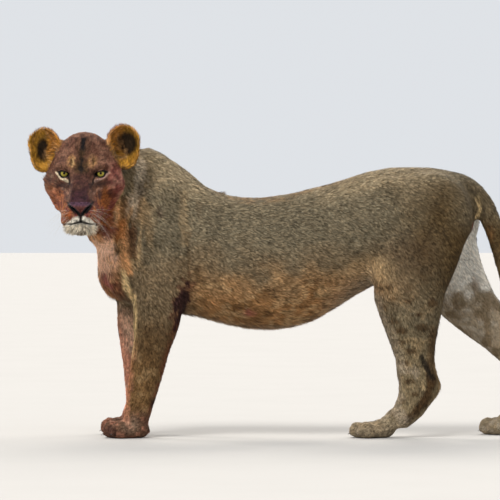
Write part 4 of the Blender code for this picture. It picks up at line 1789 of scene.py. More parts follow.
    def limbs(self, ground: Ground) -> Array:
        """Legs and paws.

        Args:
            ground: The places.

        Returns:
            The colours.
        """
        p = self.palette
        points = ground.points
        back, aside, _ = ground.normals.T
        x, y, z = points.T
        fore = fade(x, -0.1, -0.2)
        hind = 1.0 - fore
        mottle = noise(points, 0.016, 23)
        colour = layered(
            p.leg,
            (p.shin, hind),
            (p.flank, 0.7, (z, 0.33 - 0.05 * hind, 0.48 - 0.08 * hind)),
            (p.drab, 0.85 * self.inner_thigh(ground), (z, 0.04, 0.12)),
        )
        colour = self.inside(ground, colour)
        dots = spots(points, 0.046, 21) + 0.3 * (mottle - 0.5)
        dots = within((dots, 0.5, 0.26), (z, 0.54, 0.46), (z, 0.06, 0.12))
        outer = 1.0 - 0.75 * self.inner_thigh(ground)
        colour = layered(
            colour,
            (p.spot, (0.32 - 0.32 * hind * fade(y, 0.08, 0.0)) * dots * outer),
            (p.spot, (0.26 - 0.12 * hind) * outer, (noise(points, 0.024, 24), 0.56, 0.75)),
            (p.straw, 0.22 * outer, (noise(points, 0.024, 24), 0.42, 0.25)),
        )
        colour = colour * (1.0 + fore * (0.2 * fade(z, 0.24, 0.14) - 0.26 * fade(z, 0.22, 0.3)))[:, None]
        colour = self.streaks(ground, self.thigh_spots(ground, colour))
        far = fade(y, 0.12, 0.16)
        # the near foreleg's front edge, found by its normals: partly its own lighter coat, partly painted rim light
        front = fore * (1.0 - far) * fade(back + 0.5 * (mottle - 0.5), -0.45, -0.95)
        colour = layered(
            colour,
            # painted rim light: pale down the front of the hind leg and straw on the back of the hock, found by
            # their normals
            (p.pale, 0.75 * hind, (back, -0.6, -0.95), (z, 0.5, 0.4)),
            (p.straw, 0.5 * hind, (back, 0.7, 0.97), (z, 0.28, 0.22)),
            (p.blood, 0.75 * fore * far, (back, 0.35, -0.4), (z, 0.4, 0.3), (mottle, 0.1, 0.5)),
            (p.salmon, 0.76 * fore * far, (back, 0.0, -0.7), (mottle, -0.2, 0.5), (z, 0.5, 0.38)),
            (p.rose, 0.66 * fore * far, (aside, 0.4, -0.3), (z, 0.21, 0.35), (back, -0.95, -0.5)),
            # ginger down the near foreleg's front: partly its own colour, partly painted rim light
            (p.ginger, 0.4 * fore * (1.0 - far), (back, -0.6, -0.95), (z, 0.35, 0.2)),
            (p.blood, 0.75 * fore * (1.0 - far), (back, 0.4, 0.85), (mottle, 0.1, 0.5)),
            # cream and salmon on the near foreleg's front edge: partly its own colour, partly painted rim light
            (p.cream, 0.45 * front, (z, 0.14, 0.4)),
            (p.salmon, 0.4 * front, (z, 0.36, 0.14)),
            (p.clot, 0.95 * blot(points, (-0.476, 0.02, 0.112), (0.018, 0.045, 0.026), 0.4)),
            (p.paw, 0.85 * fore, (z + 0.03 * (mottle - 0.5), 0.105, 0.055)),
            (p.salmon, 0.3 * fore, (mottle, 0.5, 0.75), (z, 0.12, 0.07)),
            (p.drab, 0.5 * blot(points, (-0.548, -0.1, 0.045), (0.03, 0.08, 0.03), 0.3) * fore),
            (p.clot, 0.6 * blot(points, (-0.492, -0.1, 0.028), (0.014, 0.08, 0.022), 0.3) * fore),
            (p.plum, 0.6 * blot(points, (-0.62, 0.0, 0.02), (0.03, 0.3, 0.02), 0.3) * fore),
            (p.pale, 0.34 * hind, (z + 0.03 * (mottle - 0.5), 0.095, 0.035)),
        )
        return self.clotted(ground, colour)

    def tail(self, ground: Ground) -> Array:
        """The tail, black at its tuft.

        Args:
            ground: The places.

        Returns:
            The colours.
        """
        p = self.palette
        z = ground.points[:, 2]
        return layered(
            p.haunch,
            (p.low_flank, 0.7, (z, 0.7, 0.45)),
            (p.flank, 0.6, (z, 0.66, 0.74)),
            (p.black, 1.0, (ground.share(Region.TUFT), 0.35, 0.75)),
        )

    def ears(self, ground: Ground) -> Array:
        """Ginger in front, with painted shade in the cup and a pale fringe, and black behind.

        Args:
            ground: The places.

        Returns:
            The colours.
        """
        p = self.palette
        plan, facing = ear_plan(self.head, ground)
        streak = noise(ground.points * np.array([1.0, 1.0, 0.5]), 0.007, 33)
        left = ground.local[:, 0] > 0
        wide, narrow = ((0.14, 0.12), (0.7, 0.56), 0.72), ((0.18, 0.00), (0.42, 0.54), 0.68)
        cup = np.where(left, blot(plan, *wide), blot(plan, *narrow))
        return layered(
            p.ear,
            (p.ginger, 0.5, (plan[:, 0], 0.0, -0.7), (streak, 0.3, 0.7)),
            (p.cream, 0.65, (streak, 0.5, 0.75), (plan[:, 0], 0.4, -0.3)),
            (p.ginger, 0.45, (plan[:, 0], 0.25, -0.35), (plan[:, 1], -0.5, 0.1)),
            # painted shade: black in the hollow of the ear
            (p.black, 0.96 * cup, (facing, 0.0, 0.35)),
            (p.tan, 0.45, (np.linalg.norm(plan, axis=1), 0.75, 0.95), (streak, 0.35, 0.65), (facing, -0.4, 0.0)),
            (p.tan, 0.55 * blot(plan, (-0.3, -0.25), (0.4, 0.45), 0.4), (streak, 0.35, 0.6), (facing, -0.1, 0.2)),
            (p.black, 0.95, (facing, -0.5, -0.8), (plan[:, 1], -0.7, -0.3)),
        )

    def countenance(self, ground: Ground) -> Array:
        """The face.

        Args:
            ground: The places.

        Returns:
            The colours.
        """
        p = self.palette
        local = ground.local
        across, forward, up = local.T
        side = beside(local)
        plane = folded(local)
        rough = noise(ground.points, 0.008, 41) - 0.5
        patchy = noise(ground.points, 0.016, 42)
        front = fade(forward, -0.125, -0.095)
        edge = within((side + 0.01 * rough, 0.068, 0.086), (up, 0.06, 0.0))
        cheek = blot(plane, (0.068, -0.085), (0.022, 0.038), 0.3) * fade(patchy, 0.2, 0.6)
        # painted light: a salmon patch where her right cheek is lit
        lit = blot(local[:, [0, 2]], (-0.088, -0.08), (0.024, 0.036), 0.3) * fade(patchy, 0.25, 0.55)
        blotchy = within((noise(ground.points, 0.011, 43), 0.5, 0.72), (up, 0.0, -0.04))
        bridge = front * within((side + 0.02 * rough, 0.04, 0.018), (up + 0.03 * (patchy - 0.5), -0.015, -0.05))
        muzzle = within((forward, 0.015, 0.05), (up, -0.085, -0.105))
        colour = layered(
            p.face,
            (p.mauve, 0.7, (patchy, 0.35, 0.75), (up, -0.1, 0.0)),
            (p.spot, 0.5, (side, 0.036, 0.01), (up, 0.13, 0.09), (up, -0.03, 0.01)),
            (p.flank, 1.0 - front),
            (p.blood, 0.75 * (1.0 - front), (up, -0.06, -0.1), (across, 0.0, 0.03)),
            (p.ginger, 0.45 * (1.0 - front), (up, -0.06, -0.1), (patchy, 0.4, 0.65)),
            (p.crimson, 0.75 * edge, (across, 0.0, 0.04), (patchy, 0.1, 0.6)),
            (p.rose, 0.28 * edge, (across, 0.0, 0.04), (patchy, 0.45, 0.75)),
            (p.ginger, 0.55 * edge, (across, 0.0, -0.04), (up, -0.02, -0.07)),
            (p.ginger, 0.75 * cheek),
            # painted light on her right cheek
            (p.salmon, 0.62 * lit),
            (p.drab, 0.45 * blot(local[:, [0, 2]], (-0.092, -0.03), (0.018, 0.022), 0.3), (patchy, 0.3, 0.6)),
            (p.plum, 0.55 * blotchy * front),
            (p.crimson, 0.5, (up, -0.06, -0.11), (side, 0.04, 0.055), (patchy, 0.6, 0.35)),
            (p.plum, 0.58 * front, (side + 0.02 * rough, 0.04, 0.015), (up, -0.055, -0.03), (up, 0.012, -0.01)),
            (p.plum, 0.92 * bridge),
            (p.violet, 0.6 * front, (side + 0.02 * rough, 0.034, 0.014),
             (up + 0.03 * (patchy - 0.5), -0.05, -0.08)),
            (p.mauve, 0.3 * front, (np.abs(side - 0.033), 0.004, 0.001), (up, -0.03, -0.05), (up, -0.09, -0.075)),
            (p.crimson, 0.55 * muzzle),
            (p.ginger, 0.55 * muzzle, (patchy + 0.25 * fade(across, 0.0, -0.03), 0.45, 0.7)),
            (p.tan, 0.45 * muzzle, (noise(ground.points, 0.007, 44), 0.55, 0.75)),
        )
        colour = colour * np.array((0.82, 0.75, 0.69))
        stripe = fade(np.abs(across + 0.002) + 0.01 * rough, 0.0115, 0.0045) * front
        below_eye = ((0.079, 0.002), (0.066, -0.0125), (0.052, -0.019), (0.043, -0.0235))
        pouch = fade(to_line(plane, below_eye), 0.0056, 0.0027)
        mouth = self.face.over_mouth(local)
        high = mouth + 0.006 * rough + 0.75 * np.maximum(side - 0.024, 0.0)
        lip = within((forward, 0.03, 0.06), (high, 0.022, 0.016), (side + 0.01 * rough, 0.051, 0.043))
        chin = within((mouth + 0.006 * rough, -0.002, -0.006), (forward, -0.03, 0.0))
        speckle = fade(noise(ground.points, 0.0045, 45), 0.42, 0.62)
        rows = np.minimum(np.abs(((up + 0.108 + 0.2 * (side - 0.03)) / 0.009) % 1.0 - 0.5), 1.0)
        gap = self.face.beside_eye(local)
        tear = to_line(plane, ((0.042, -0.008), (0.037, -0.018), (0.035, -0.034)))
        wing = to_line(plane, ((0.07, 0.003), (0.077, 0.007)))
        inside = self.face.inside_nose(local)
        top = layered(p.leather, (p.violet, 1.0, (up, -0.104, -0.094)))
        colour = layered(
            colour,
            (p.black, 0.98 * stripe, (up, 0.044, 0.056), (up, 0.116, 0.106)),
            (p.spot, 0.75 * stripe, (up, 0.03, 0.04), (up, 0.08, 0.06)),
            (p.spot, 0.88 * front, (side + 0.01 * rough, 0.028, 0.014), (up, 0.04, 0.028), (up, -0.006, 0.01)),
            (p.black, 0.84 * front, (np.abs(across + 0.002) + 0.01 * rough, 0.0095, 0.0035), (up, 0.054, 0.042),
             (up, -0.004, 0.008)),
            (p.tan, 0.85 * blot(plane, (0.032, 0.036), (0.012, 0.016), 0.3) * front, (rough, -0.4, 0.0)),
            (p.cream, 0.45 * blot(plane, (0.028, 0.034), (0.005, 0.012), 0.3) * front, (across, 0.01, -0.01)),
            (p.spot, 0.9 * blot(plane, (0.0335, 0.036), (0.0045, 0.012), 0.5) * front),
            (p.cream, pouch * front),
            (p.white, pouch * front * 0.45, (across, 0.02, -0.02)),
            (p.lilac, 0.92 * pouch * front, (across, -0.02, 0.02)),
            # painted shade in the hollow under each eye
            (p.black, 0.62 * blot(plane, (0.053, -0.036), (0.02, 0.011), 0.3) * front),
            (p.mauve, 0.6 * front,
             (to_line(plane, ((0.06, -0.046), (0.048, -0.05), (0.04, -0.062))), 0.005, 0.002)),
            (p.white, lip),
            (p.milk, chin),
            (p.spot, 0.85 * chin * blot(plane, (0.0, -0.178), (0.036, 0.019), 0.4) * speckle),
            (p.black, 0.45 * muzzle, (rows, 0.18, 0.05), (side, 0.022, 0.028), (mouth, 0.008, 0.014)),
            (p.black, 0.85 * front, (tear, 0.0042, 0.0015)),
            (p.black, 0.6 * front, (wing, 0.005, 0.0015)),
            (p.black, 1.0, (gap + 0.002 * rough, 0.005, 0.0034)),
            (p.black, 0.97 * self.face.lips(local, 0.0052) * (1.0 - 0.45 * fade(side, 0.026, 0.044))),
            (p.black, 0.95 * (mouth > -0.002), (side, 0.005, 0.0026), (up, -0.122, -0.127), (forward, 0.05, 0.06)),
            (p.plum, 0.5, (inside, -0.008, -0.002)),
        )
        colour = crossed(colour, top, fade(inside, -0.0006, 0.0006))
        return layered(colour, (p.black, 1.0, (self.face.to_nostril(local), 0.0078, 0.005)))


def ear_plan(head: HeadPlace, ground: Ground) -> tuple[Array, Array]:
    """Places on the nearer ear, and how far they face forward.

    Args:
        head: The head's place.
        ground: The places.

    Returns:
        Outwards and up the ear, from -1 to 1, and the share that faces forward.
    """
    plans = []
    for ear, side in zip(Region.EARS.value, (1, -1)):
        low, high = (head.local(corner[None])[0] for corner in corners(ear))
        centre, half = (low + high) / 2, np.abs(high - low) / 2
        plan = (ground.local - centre)[:, [0, 2]] / half[[0, 2]]
        plans.append(plan * np.array([side, 1.0]))
    plan = np.where((ground.local[:, 0] > 0)[:, None], plans[0], plans[1])
    return plan, ground.normals @ head.turned(np.array([0.0, 1.0, 0.0]))


# the coat

@dataclass
class Growth:
    """Each tuft's size and stance."""

    length: Array
    width: Array
    lift: Array
    bare: Array


def kept(rows: Ground | Growth, keep: Array) -> Ground | Growth:
    """The rows of a ground or a growth that a mask keeps."""
    return type(rows)(*(getattr(rows, each.name)[keep] for each in fields(rows)))


@dataclass(frozen=True)
class Charts:
    """A flat layout of a part of the skin, cut into pieces by the way that it faces."""

    margin: float = 0.008
    largest: float = 4.0
    shrink: float = 0.97

    def layout(self, ground: Ground) -> Array:
        """Each place's spot on the layout, from 0 to 1.

        Args:
            ground: The places.

        Returns:
            Two numbers for each place.
        """
        points, normals = ground.points, ground.normals
        owner = np.argmax(ground.regions, axis=1)
        axis = np.argmax(np.abs(normals), axis=1)
        facing = axis * 2 + (normals[np.arange(len(axis)), axis] > 0)
        limbs = (Region.FORELEGS, Region.HIND_LEGS, Region.PAWS)
        paired = np.isin(owner, [region.column for region in limbs])
        far = paired & (points[:, 1] > midline())
        ear = owner == Region.EARS.column
        far |= ear & (ground.local[:, 0] < 0)
        key = (owner * 6 + facing) * 2 + far
        flat = np.where((axis == 1)[:, None], points[:, [0, 2]], points[:, [0, 1]])
        flat = np.where((axis == 0)[:, None], points[:, [1, 2]], flat)
        charts = []
        for name in np.unique(key):
            rows = np.flatnonzero(key == name)
            low, high = flat[rows].min(axis=0), flat[rows].max(axis=0)
            charts.append((rows, low, high - low))
        charts.sort(key=lambda chart: -chart[2][1])
        scale = self.largest
        while (spots_ := self.packed(charts, scale)) is None:
            scale *= self.shrink
        out = np.zeros((len(points), 2))
        for (rows, low, _), corner in zip(charts, spots_):
            out[rows] = (flat[rows] - low) * scale + corner
        return out

    def packed(self, charts: list[tuple[Array, Array, Array]], scale: float) -> list[Array] | None:
        """Places the charts in rows at a scale, or gives None if they do not fit.

        Args:
            charts: Each chart's rows, low corner and size.
            scale: How large to draw them.

        Returns:
            The charts' low corners, or None.
        """
        found, cursor, base, tall = [], self.margin, self.margin, 0.0
        for _, _, size in charts:
            wide, high = size * scale + self.margin
            if cursor + wide > 1.0:
                cursor, base, tall = self.margin, base + tall, 0.0
            if cursor + wide > 1.0 or base + high > 1.0:
                return None
            found.append(np.array([cursor, base]))
            cursor += wide
            tall = max(tall, high)
        return found


class Pelt(Enum):
    """The pieces of the coat, with the regions and the number of tufts of each."""

    HEAD = ("coat_head", (Region.FACE, Region.EARS), 64_000)
    NECK = ("coat_neck", (Region.NECK,), 56_000)
    CHEST = ("coat_chest", (Region.CHEST,), 62_000)
    BELLY = ("coat_belly", (Region.BELLY,), 64_000)
    HAUNCHES = ("coat_haunches", (Region.HAUNCHES,), 64_000)
    FORE = ("coat_fore", (Region.FORELEGS,), 50_000)
    HIND = ("coat_hind", (Region.HIND_LEGS,), 58_000)
    ENDS = ("coat_paws_and_tail", (Region.PAWS, Region.TAIL, Region.TUFT), 62_000)


@dataclass
class Coat:
    """Flat tufts over the skin, each a bent blade of three triangles."""

    skin: Piece
    ground: Ground
    head: HeadPlace
    face: Face
    patch: float = 0.003
    sunk: float = 0.0006
    narrowing: float = 0.85
    root_shade: float = 0.72
    tip_shade: float = 1.18
    dark_tips: float = 0.16

    def build(self) -> list[Piece]:
        """Makes every piece of the coat.

        Returns:
            The pieces.
        """
        mesh = self.skin.data
        mesh.calc_loop_triangles()
        rows = numbers(mesh.loop_triangles, "vertices", 3, np.int32)
        areas = numbers(mesh.loop_triangles, "area", 1).astype(float)
        owner = np.argmax(self.ground.regions[rows].mean(axis=1), axis=1)
        material = CoatFinish().material()
        pieces = []
        for number, pelt in enumerate(Pelt):
            name, regions, count = pelt.value
            chosen = np.isin(owner, [region.column for region in regions])
            count = count
            piece = self.pelt(name, rows[chosen], areas[chosen], count, number)
            piece.data.materials.append(material)
            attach(piece, BODY)
            log.info("%s: %d triangles", name, len(piece.data.polygons))
            pieces.append(piece)
        return pieces

    def growth(self, ground: Ground) -> Growth:
        """The size and stance of the tufts at each place.

        Args:
            ground: The places.

        Returns:
            The tufts' sizes.
        """
        points, local, normals = ground.points, ground.local, ground.normals
        across, forward, up = local.T
        length = ground.hair("length")
        width = ground.hair("width")
        lift = np.full(len(points), 0.3)
        on_face = ground.share(Region.FACE)
        front = on_face * fade(forward, -0.02, 0.05)
        length *= 1.0 - 0.55 * front
        width *= 1.0 - 0.3 * front
        chin = on_face * fade(up, -0.155, -0.17) * fade(forward, -0.02, 0.02)
        sides = chin * fade(beside(local), 0.012, 0.035)
        length *= 1.0 + 2.2 * chin + 3.0 * sides
        lift += 0.2 * chin + 0.34 * sides
        jowl = on_face * fade(np.abs(across), 0.055, 0.085) * fade(up, 0.03, -0.05)
        length *= 1.0 + 0.55 * jowl
        lift += 0.1 * jowl
        tuft = (
            on_face * fade(np.linalg.norm((local - [-0.112, -0.05, -0.012]) / [0.03, 0.06, 0.022], axis=1), 1.0, 0.5)
        )
        length *= 1.0 + 0.9 * tuft
        lift += 0.35 * tuft
        on_ear = ground.share(Region.EARS)
        plan, facing = ear_plan(self.head, ground)
        fringe = on_ear * fade(facing, 0.1, 0.5) * fade(plan[:, 0], -0.15, -0.45) * fade(plan[:, 1], 0.45, 0.0)
        length *= 1.0 + 2.2 * fringe
        width *= 1.0 + 0.5 * fringe
        rim = on_ear * fade(np.linalg.norm(plan, axis=1), 0.78, 0.95) * fade(plan[:, 1], -0.5, 0.0)
        length *= 1.0 + 0.55 * rim
        lift += 0.2 * on_ear + 0.35 * fringe + 0.1 * rim
        throat = ground.share(Region.NECK, Region.CHEST) * fade(points[:, 0], -0.5, -0.62)
        length *= 1.0 + 0.35 * throat
        notch = blot(points, (-0.2745, midline(), 0.78), (0.008, 0.035, 0.03), 0.3)
        length *= 1.0 + 0.5 * notch
        lift += 0.55 * notch
        belly = ground.share(Region.BELLY, Region.CHEST) * fade(normals[:, 2], -0.4, -0.9)
        length *= 1.0 + 0.5 * belly
        lift += 0.12 * belly
        back_edge = ground.share(Region.FORELEGS, Region.HIND_LEGS) * fade(normals[:, 0], 0.3, 0.8)
        length *= 1.0 + 0.5 * back_edge
        gap = self.face.beside_eye(local)
        near_eye = fade(gap, 0.02, 0.004)
        length *= 1.0 - 0.55 * near_eye
        lip = np.abs(self.face.over_mouth(local))
        bare = (
            (gap < 0.0032)
            | (self.face.inside_nose(local) > -0.0008)
            | ((lip < 0.0022) & (forward > self.face.corner_forward - 0.004))
            | ((ground.share(Region.PAWS) > 0.4) & (normals[:, 2] < -0.55) & (points[:, 2] < 0.03))
        )
        return Growth(length, width, lift, bare)

    def pelt(
        self, name: str, rows: Array, areas: Array, count: int, number: int
    ) -> Piece:
        """Makes one piece of the coat.

        Args:
            name: Its name.
            rows: The skin's triangles under it.
            areas: Their areas.
            count: How many tufts.
            number: Which piece it is, for its seed.

        Returns:
            The piece.
        """
        rng = np.random.default_rng(SEED * 100 + number)
        thirds = np.full((len(rows), 3), 1 / 3)
        sizes = self.growth(self.ground.at(rows, thirds))
        want = areas / (sizes.length * sizes.width) * ~sizes.bare
        ladder = np.cumsum(want) / want.sum() * count
        picks = np.searchsorted(ladder, np.arange(count) + rng.random(count))
        picks = np.minimum(picks, len(rows) - 1)
        u, v = rng.random(count), rng.random(count)
        over = u + v > 1
        u[over], v[over] = 1 - u[over], 1 - v[over]
        ground = self.ground.at(rows[picks], np.stack([1 - u - v, u, v], axis=1))
        sizes = self.growth(ground)
        keep = ~sizes.bare
        return self.tufts(name, kept(ground, keep), kept(sizes, keep), rng)

    def tufts(
        self, name: str, ground: Ground, sizes: Growth, rng: np.random.Generator
    ) -> Piece:
        """Makes a mesh of blades from their roots.

        Args:
            name: The piece's name.
            ground: The roots' places.
            sizes: The tufts' sizes.
            rng: Where chance comes from.

        Returns:
            The piece.
        """
        count = len(ground.points)
        normal = ground.normals
        turn = rng.normal(0.0, 0.16, count) + 0.6 * (noise(ground.points, 0.024, SEED + 50) - 0.5)
        along = unit(ground.flow - normal * np.sum(ground.flow * normal, axis=1)[:, None])
        aside = np.cross(normal, along)
        along = along * np.cos(turn)[:, None] + aside * np.sin(turn)[:, None]
        aside = np.cross(normal, along)
        clump = noise(ground.points, 0.009, SEED + 51)
        length = sizes.length * rng.uniform(0.75, 1.2, count) * (0.85 + 0.3 * clump)
        width = sizes.width * rng.uniform(0.8, 1.2, count)
        rise = sizes.lift * rng.uniform(0.7, 1.3, count) * (0.7 + 0.6 * clump)
        fall = rise * rng.uniform(0.0, 0.7, count)
        half = (width / 2)[:, None] * aside
        root = ground.points - normal * self.sunk
        bend = root + (length * 0.5)[:, None] * (along * np.cos(rise)[:, None] + normal * np.sin(rise)[:, None])
        tip = bend + (length * 0.5)[:, None] * (along * np.cos(fall)[:, None] + normal * np.sin(fall)[:, None])
        narrow = half * self.narrowing
        blades = np.stack([root + half, root - half, bend - narrow, bend + narrow, tip], axis=1)
        first = np.arange(count)[:, None] * 5
        blade = ((0, 1, 2), (0, 2, 3), (3, 2, 4))
        faces = np.concatenate([first + np.array(face) for face in blade], axis=1).reshape(-1, 3)
        mesh = self.mesh_of(name, blades.reshape(-1, 3), faces)
        self.paint(mesh, ground, rng)
        self.lay_out(mesh, ground, faces)
        facing = unit(normal + 0.35 * np.cross(along, aside) + 0.12 * rng.normal(size=(count, 3)))
        mesh.normals_split_custom_set_from_vertices(np.repeat(facing, 5, axis=0).tolist())
        return empty_object(name, mesh)

    @staticmethod
    def mesh_of(name: str, points: Array, faces: Array) -> Mesh:
        """A mesh of triangles.

        Args:
            name: Its name.
            points: The places.
            faces: Each triangle's three points.

        Returns:
            The mesh.
        """
        mesh = bpy.data.meshes.new(name)
        mesh.vertices.add(len(points))
        mesh.vertices.foreach_set("co", points.astype(np.float32).ravel())
        mesh.loops.add(faces.size)
        mesh.loops.foreach_set("vertex_index", faces.astype(np.int32).ravel())
        mesh.polygons.add(len(faces))
        mesh.polygons.foreach_set("loop_start", np.arange(0, faces.size, 3, dtype=np.int32))
        mesh.update(calc_edges=True)
        shade_smooth(mesh)
        return mesh

    def paint(self, mesh: Mesh, ground: Ground, rng: np.random.Generator) -> None:
        """Colours each tuft a little its own, with shaded roots and some dark tips.

        Args:
            mesh: The tufts.
            ground: Their roots' places.
            rng: Where chance comes from.
        """
        base = Markings(self.head, self.face).colours(ground)
        count = len(base)
        spread = 0.27 + 0.13 * ground.share(Region.NECK, Region.CHEST) - 0.09 * fade(ground.points[:, 2], 0.42, 0.34)
        own = (1.0 + spread * rng.normal(0.0, 1.0, count)).clip(0.35, 2.0)
        warm = rng.normal(0.0, 0.03, count)
        base = base * own[:, None] * np.stack([1.0 + warm, np.ones(count), 1.0 - warm], axis=1)
        dark = (rng.random(count) < self.dark_tips) * rng.uniform(0.3, 0.6, count)
        shades = np.ones((count, 5))
        shades[:, :2] = self.root_shade
        shades[:, 4] = self.tip_shade * (1.0 - dark)
        store_colours(mesh, (base[:, None, :] * shades[:, :, None]).reshape(-1, 3))

    def lay_out(self, mesh: Mesh, ground: Ground, faces: Array) -> None:
        """Gives each tuft a small patch of the layout at its root's place.

        Args:
            mesh: The tufts.
            ground: Their roots' places.
            faces: Their triangles.
        """
        spot = Charts().layout(ground)
        shape = ((-0.5, -0.5), (0.5, -0.5), (0.43, 0.0), (-0.43, 0.0), (0.0, 0.5))
        shape = np.array(shape) * self.patch
        places = (np.clip(spot, 0.002, 0.998)[:, None, :] + shape[None]).reshape(-1, 2)
        layer = mesh.uv_layers.new(name="OFBake")
        layer.data.foreach_set("uv", places[faces.ravel()].astype(np.float32).ravel())


# eyes and whiskers

@dataclass
class Eye:
    """One eyeball, with the bulge of its cornea."""

    node: str
    head: HeadPlace
    gaze: tuple[float, float, float]
    iris: float = 0.0108
    bulge: float = 0.0009

    def build(self) -> Piece:
        """Makes the eyeball, with its angle from the pupil on each point.

        Returns:
            The piece.
        """
        radius = self.head.eye_radius
        ball = bmesh.new()
        bmesh.ops.create_uvsphere(ball, u_segments=96, v_segments=48, radius=radius)
        limit = math.asin(self.iris / radius)
        reach, fibre, height = [], [], []
        for vertex in ball.verts:
            polar = math.acos(max(-1.0, min(1.0, vertex.co.z / radius)))
            share = polar / limit
            turn = math.atan2(vertex.co.y, vertex.co.x)
            reach.append(share)
            waves = 0.5 + 0.25 * math.sin(turn * 37)
            fibre.append(waves + 0.25 * math.sin(turn * 23 + 2.0 * share))
            # height up the iris, which the eyeball's painted lid shade reads
            height.append(0.5 + 0.5 * vertex.co.y / self.iris)
            rise = max(0.0, 1.0 - (share / 1.15) ** 2)
            vertex.co *= 1.0 + self.bulge * rise / radius
        turned = Vector((0.0, 0.0, 1.0)).rotation_difference(Vector(self.gaze)).to_matrix().to_4x4()
        placed = Matrix.Translation(middle(self.node)) @ turned
        bmesh.ops.transform(ball, matrix=placed, verts=ball.verts)
        mesh = bpy.data.meshes.new(self.node + "_ball")
        ball.to_mesh(mesh)
        ball.free()
        for name, values in (("reach", reach), ("fibre", fibre), ("height", height)):
            store_values(mesh, name, np.array(values))
        shade_smooth(mesh)
        mesh.materials.append(EyeFinish().material())
        piece = empty_object(self.node + "_ball", mesh)
        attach(piece, BODY)
        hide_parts(self.node)
        return piece


def tapered(
    name: str, lines: list[tuple[Array, Array]], radius: float, finish: HornFinish
) -> Piece:
    """Makes a piece of closed tapered tubes.

    Args:
        name: The piece's name.
        lines: Each tube's points and its thickness at each, from 0 to 1.
        radius: The radius where the thickness is 1.
        finish: Its material.

    Returns:
        The piece.
    """
    curve = bpy.data.curves.new(name, "CURVE")
    curve.dimensions = "3D"
    curve.bevel_depth = radius
    curve.bevel_resolution = 1
    curve.use_fill_caps = True
    for points, shares in lines:
        spline = curve.splines.new("POLY")
        spline.points.add(len(points) - 1)
        for held, point, share in zip(spline.points, points, shares):
            held.co = (*point, 1.0)
            held.radius = share
    rough = empty_object(name + "_rough", curve)
    graph = bpy.context.evaluated_depsgraph_get()
    mesh = bpy.data.meshes.new_from_object(rough.evaluated_get(graph))
    bpy.data.objects.remove(rough)
    mesh.materials.clear()
    mesh.materials.append(finish.material())
    shade_smooth(mesh)
    piece = empty_object(name, mesh)
    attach(piece, BODY)
    return piece


@dataclass
class Whiskers:
    """Fine white whiskers on the pads."""

    skin: Piece
    head: HeadPlace
    rows: int = 4
    each: int = 5
    radius: float = 0.00019

    def build(self) -> Piece:
        """Makes all the whiskers as one piece of tapered tubes.

        Returns:
            The piece.
        """
        rng = np.random.default_rng(SEED)
        tree = BVHTree.FromObject(self.skin, bpy.context.evaluated_depsgraph_get())
        lines = []
        for side in (1, -1):
            for row in range(self.rows):
                for number in range(self.each):
                    up = -0.112 - 0.0095 * row + rng.uniform(-0.002, 0.002)
                    start = np.array([side * (0.033 + 0.0042 * number), 0.15, up])
                    length = 0.036 + 0.011 * number + rng.uniform(-0.01, 0.01)
                    heading = np.array([
                        side * (0.75 + rng.uniform(-0.2, 0.2)),
                        0.2 - 0.12 * number,
                        -0.1 - 0.2 * row + rng.uniform(-0.2, 0.2),
                    ])
                    lines += self.grown(tree, start, unit(heading), length)
        bristle = HornFinish("bristle", (0.62, 0.56, 0.46))
        return tapered("whiskers", lines, self.radius, bristle)

    def grown(
        self, tree: BVHTree, start: Array, heading: Array, length: float
    ) -> list[tuple[Array, Array]]:
        """One drooping whisker, rooted where a ray from the front meets the skin, or none.

        Args:
            tree: The skin.
            start: A place in front of the root, in the head's axes.
            heading: Which way it grows, in the head's axes.
            length: How long it is.

        Returns:
            The tube's points and thicknesses, in a list that is empty where there is no root.
        """
        ray = Vector(self.head.turned(np.array([0.0, -1.0, 0.0])))
        root = tree.ray_cast(Vector(self.head.world(start)), ray)[0]
        if root is None:
            return []
        t = np.linspace(0.0, 1.0, 8)[:, None]
        places = (
            np.array(root) + self.head.turned(heading) * (length * t - 0.002)
            - np.array([0.0, 0.0, 0.3]) * length * t * t
        )
        return [(places, 1.0 - 0.85 * t[:, 0])]


@dataclass
class Claws:
    """Sheathed claws: a short dark point at the front of each toe."""

    skin: Piece
    length: float = 0.0115
    radius: float = 0.0022
    height: float = 0.016
    sunk: float = 0.0045

    def build(self) -> Piece:
        """Makes all the claws as one piece.

        Returns:
            The piece.
        """
        tree = BVHTree.FromObject(self.skin, bpy.context.evaluated_depsgraph_get())
        t = np.linspace(0.0, 1.0, 6)
        lines = []
        for node in Region.PAWS.value:
            low, high = corners(node)
            for toe in range(Paws().toes):
                across = low[1] + (high[1] - low[1]) * (toe + 0.5) / Paws().toes
                ahead = Vector((low[0] - 0.1, across, self.height))
                root = tree.ray_cast(ahead, Vector((1.0, 0.0, 0.0)))[0]
                if root is not None and root.x < low[0] + 0.05:
                    drop = -0.55 * self.length * t**2
                    path = np.stack([self.sunk - self.length * t, 0.0 * t, drop], axis=1)
                    lines.append((np.array(root) + path, 1.0 - 0.93 * t))
        horn = HornFinish("claw_horn", (0.055, 0.042, 0.032), 0.3)
        return tapered("claws", lines, self.radius, horn)


# studio

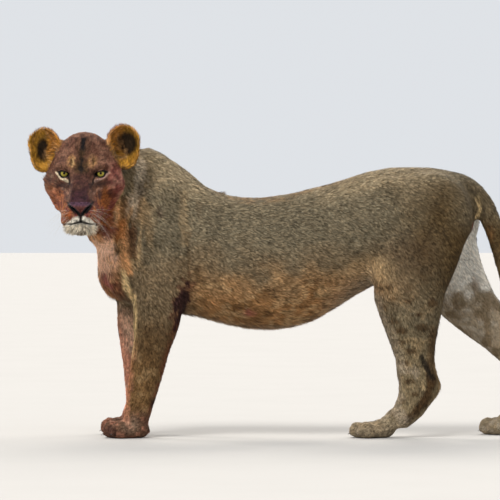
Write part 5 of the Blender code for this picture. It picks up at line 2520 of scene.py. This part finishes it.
@dataclass(frozen=True)
class Studio:
    """Floor, lights and camera."""

    camera_x: float = -0.18055
    camera_y: float = -12.387
    camera_z: float = 0.76
    lens: float = 284.8
    sensor: float = 36.0
    farthest: float = 60.0
    aim_z: float = 0.588
    floor_half: float = 40.0
    air: Colour = (0.88, 0.91, 0.95)
    air_strength: float = 0.84

    def build(self) -> None:
        """Sets up the room."""
        floor = bmesh.new()
        bmesh.ops.create_grid(floor, x_segments=8, y_segments=8, size=self.floor_half)
        mesh = bpy.data.meshes.new("studio_floor")
        floor.to_mesh(mesh)
        floor.free()
        mesh.materials.append(FloorFinish().material())
        empty_object("studio_floor", mesh)
        world = bpy.data.worlds.new("studio_air")
        world.use_nodes = True
        background = world.node_tree.nodes["Background"]
        background.inputs["Color"].default_value = opaque(self.air)
        background.inputs["Strength"].default_value = self.air_strength
        bpy.context.scene.world = world
        bpy.context.scene.view_settings.view_transform = "Standard"
        self.sun("high_light", (-0.45, -0.85, 1.25), 3.0, 24.0, (1.0, 0.97, 0.92))
        self.sun("rear_light", (0.1, 1.00, 0.8), 1.4, 30.0, (1.0, 0.93, 0.84))
        self.sun("left_rim", (-1.00, 0.75, 0.75), 1.7, 20.0, (1.0, 0.93, 0.84))
        self.sun("right_rim", (1.00, 0.75, 0.75), 1.2, 20.0, (1.0, 0.93, 0.84))
        self.camera()

    @staticmethod
    def sun(
        name: str, place: tuple[float, float, float], strength: float, spread: float, colour: Colour
    ) -> None:
        """A distant soft light.

        Args:
            name: Its name.
            place: The direction that it shines from.
            strength: How strong it is.
            spread: How wide it looks, in degrees.
            colour: Its colour.
        """
        lamp = bpy.data.lights.new(name, "SUN")
        lamp.energy = strength
        lamp.angle = math.radians(spread)
        lamp.color = colour
        made = bpy.data.objects.new(name, lamp)
        made.rotation_euler = Vector(place).to_track_quat("Z", "Y").to_euler()
        bpy.context.scene.collection.objects.link(made)

    def camera(self) -> None:
        """A long lens, far off and level with the flank."""
        data = bpy.data.cameras.new("camera")
        data.sensor_width = self.sensor
        data.lens = self.lens
        data.clip_end = self.farthest
        made = bpy.data.objects.new("camera", data)
        made.location = (self.camera_x, self.camera_y, self.camera_z)
        target = Vector((self.camera_x, midline(), self.aim_z))
        made.rotation_euler = (target - made.location).to_track_quat("-Z", "Y").to_euler()
        bpy.context.scene.collection.objects.link(made)
        bpy.context.scene.camera = made


def main() -> None:
    """Builds the lioness in order."""
    logging.basicConfig(level=logging.INFO, format="%(name)s: %(message)s")
    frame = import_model()
    head = HeadPlace.from_eyes()
    face = Face(head)
    hide = Skin(frame, head, face)
    skin = hide.build()
    log.info("skin: %d triangles", len(skin.data.polygons))
    Coat(skin, hide.ground, head, face).build()
    for node in ("eye_left", "eye_right"):
        eye = Eye(node, head, tuple(unit(np.array([0.04, -1.0, 0.09])))).build()
        log.info("%s: %d faces", eye.name, len(eye.data.polygons))
    whiskers = Whiskers(skin, head).build()
    log.info("whiskers: %d faces", len(whiskers.data.polygons))
    claws = Claws(skin).build()
    log.info("claws: %d faces", len(claws.data.polygons))
    Studio().build()


if __name__ == "__main__":
    main()
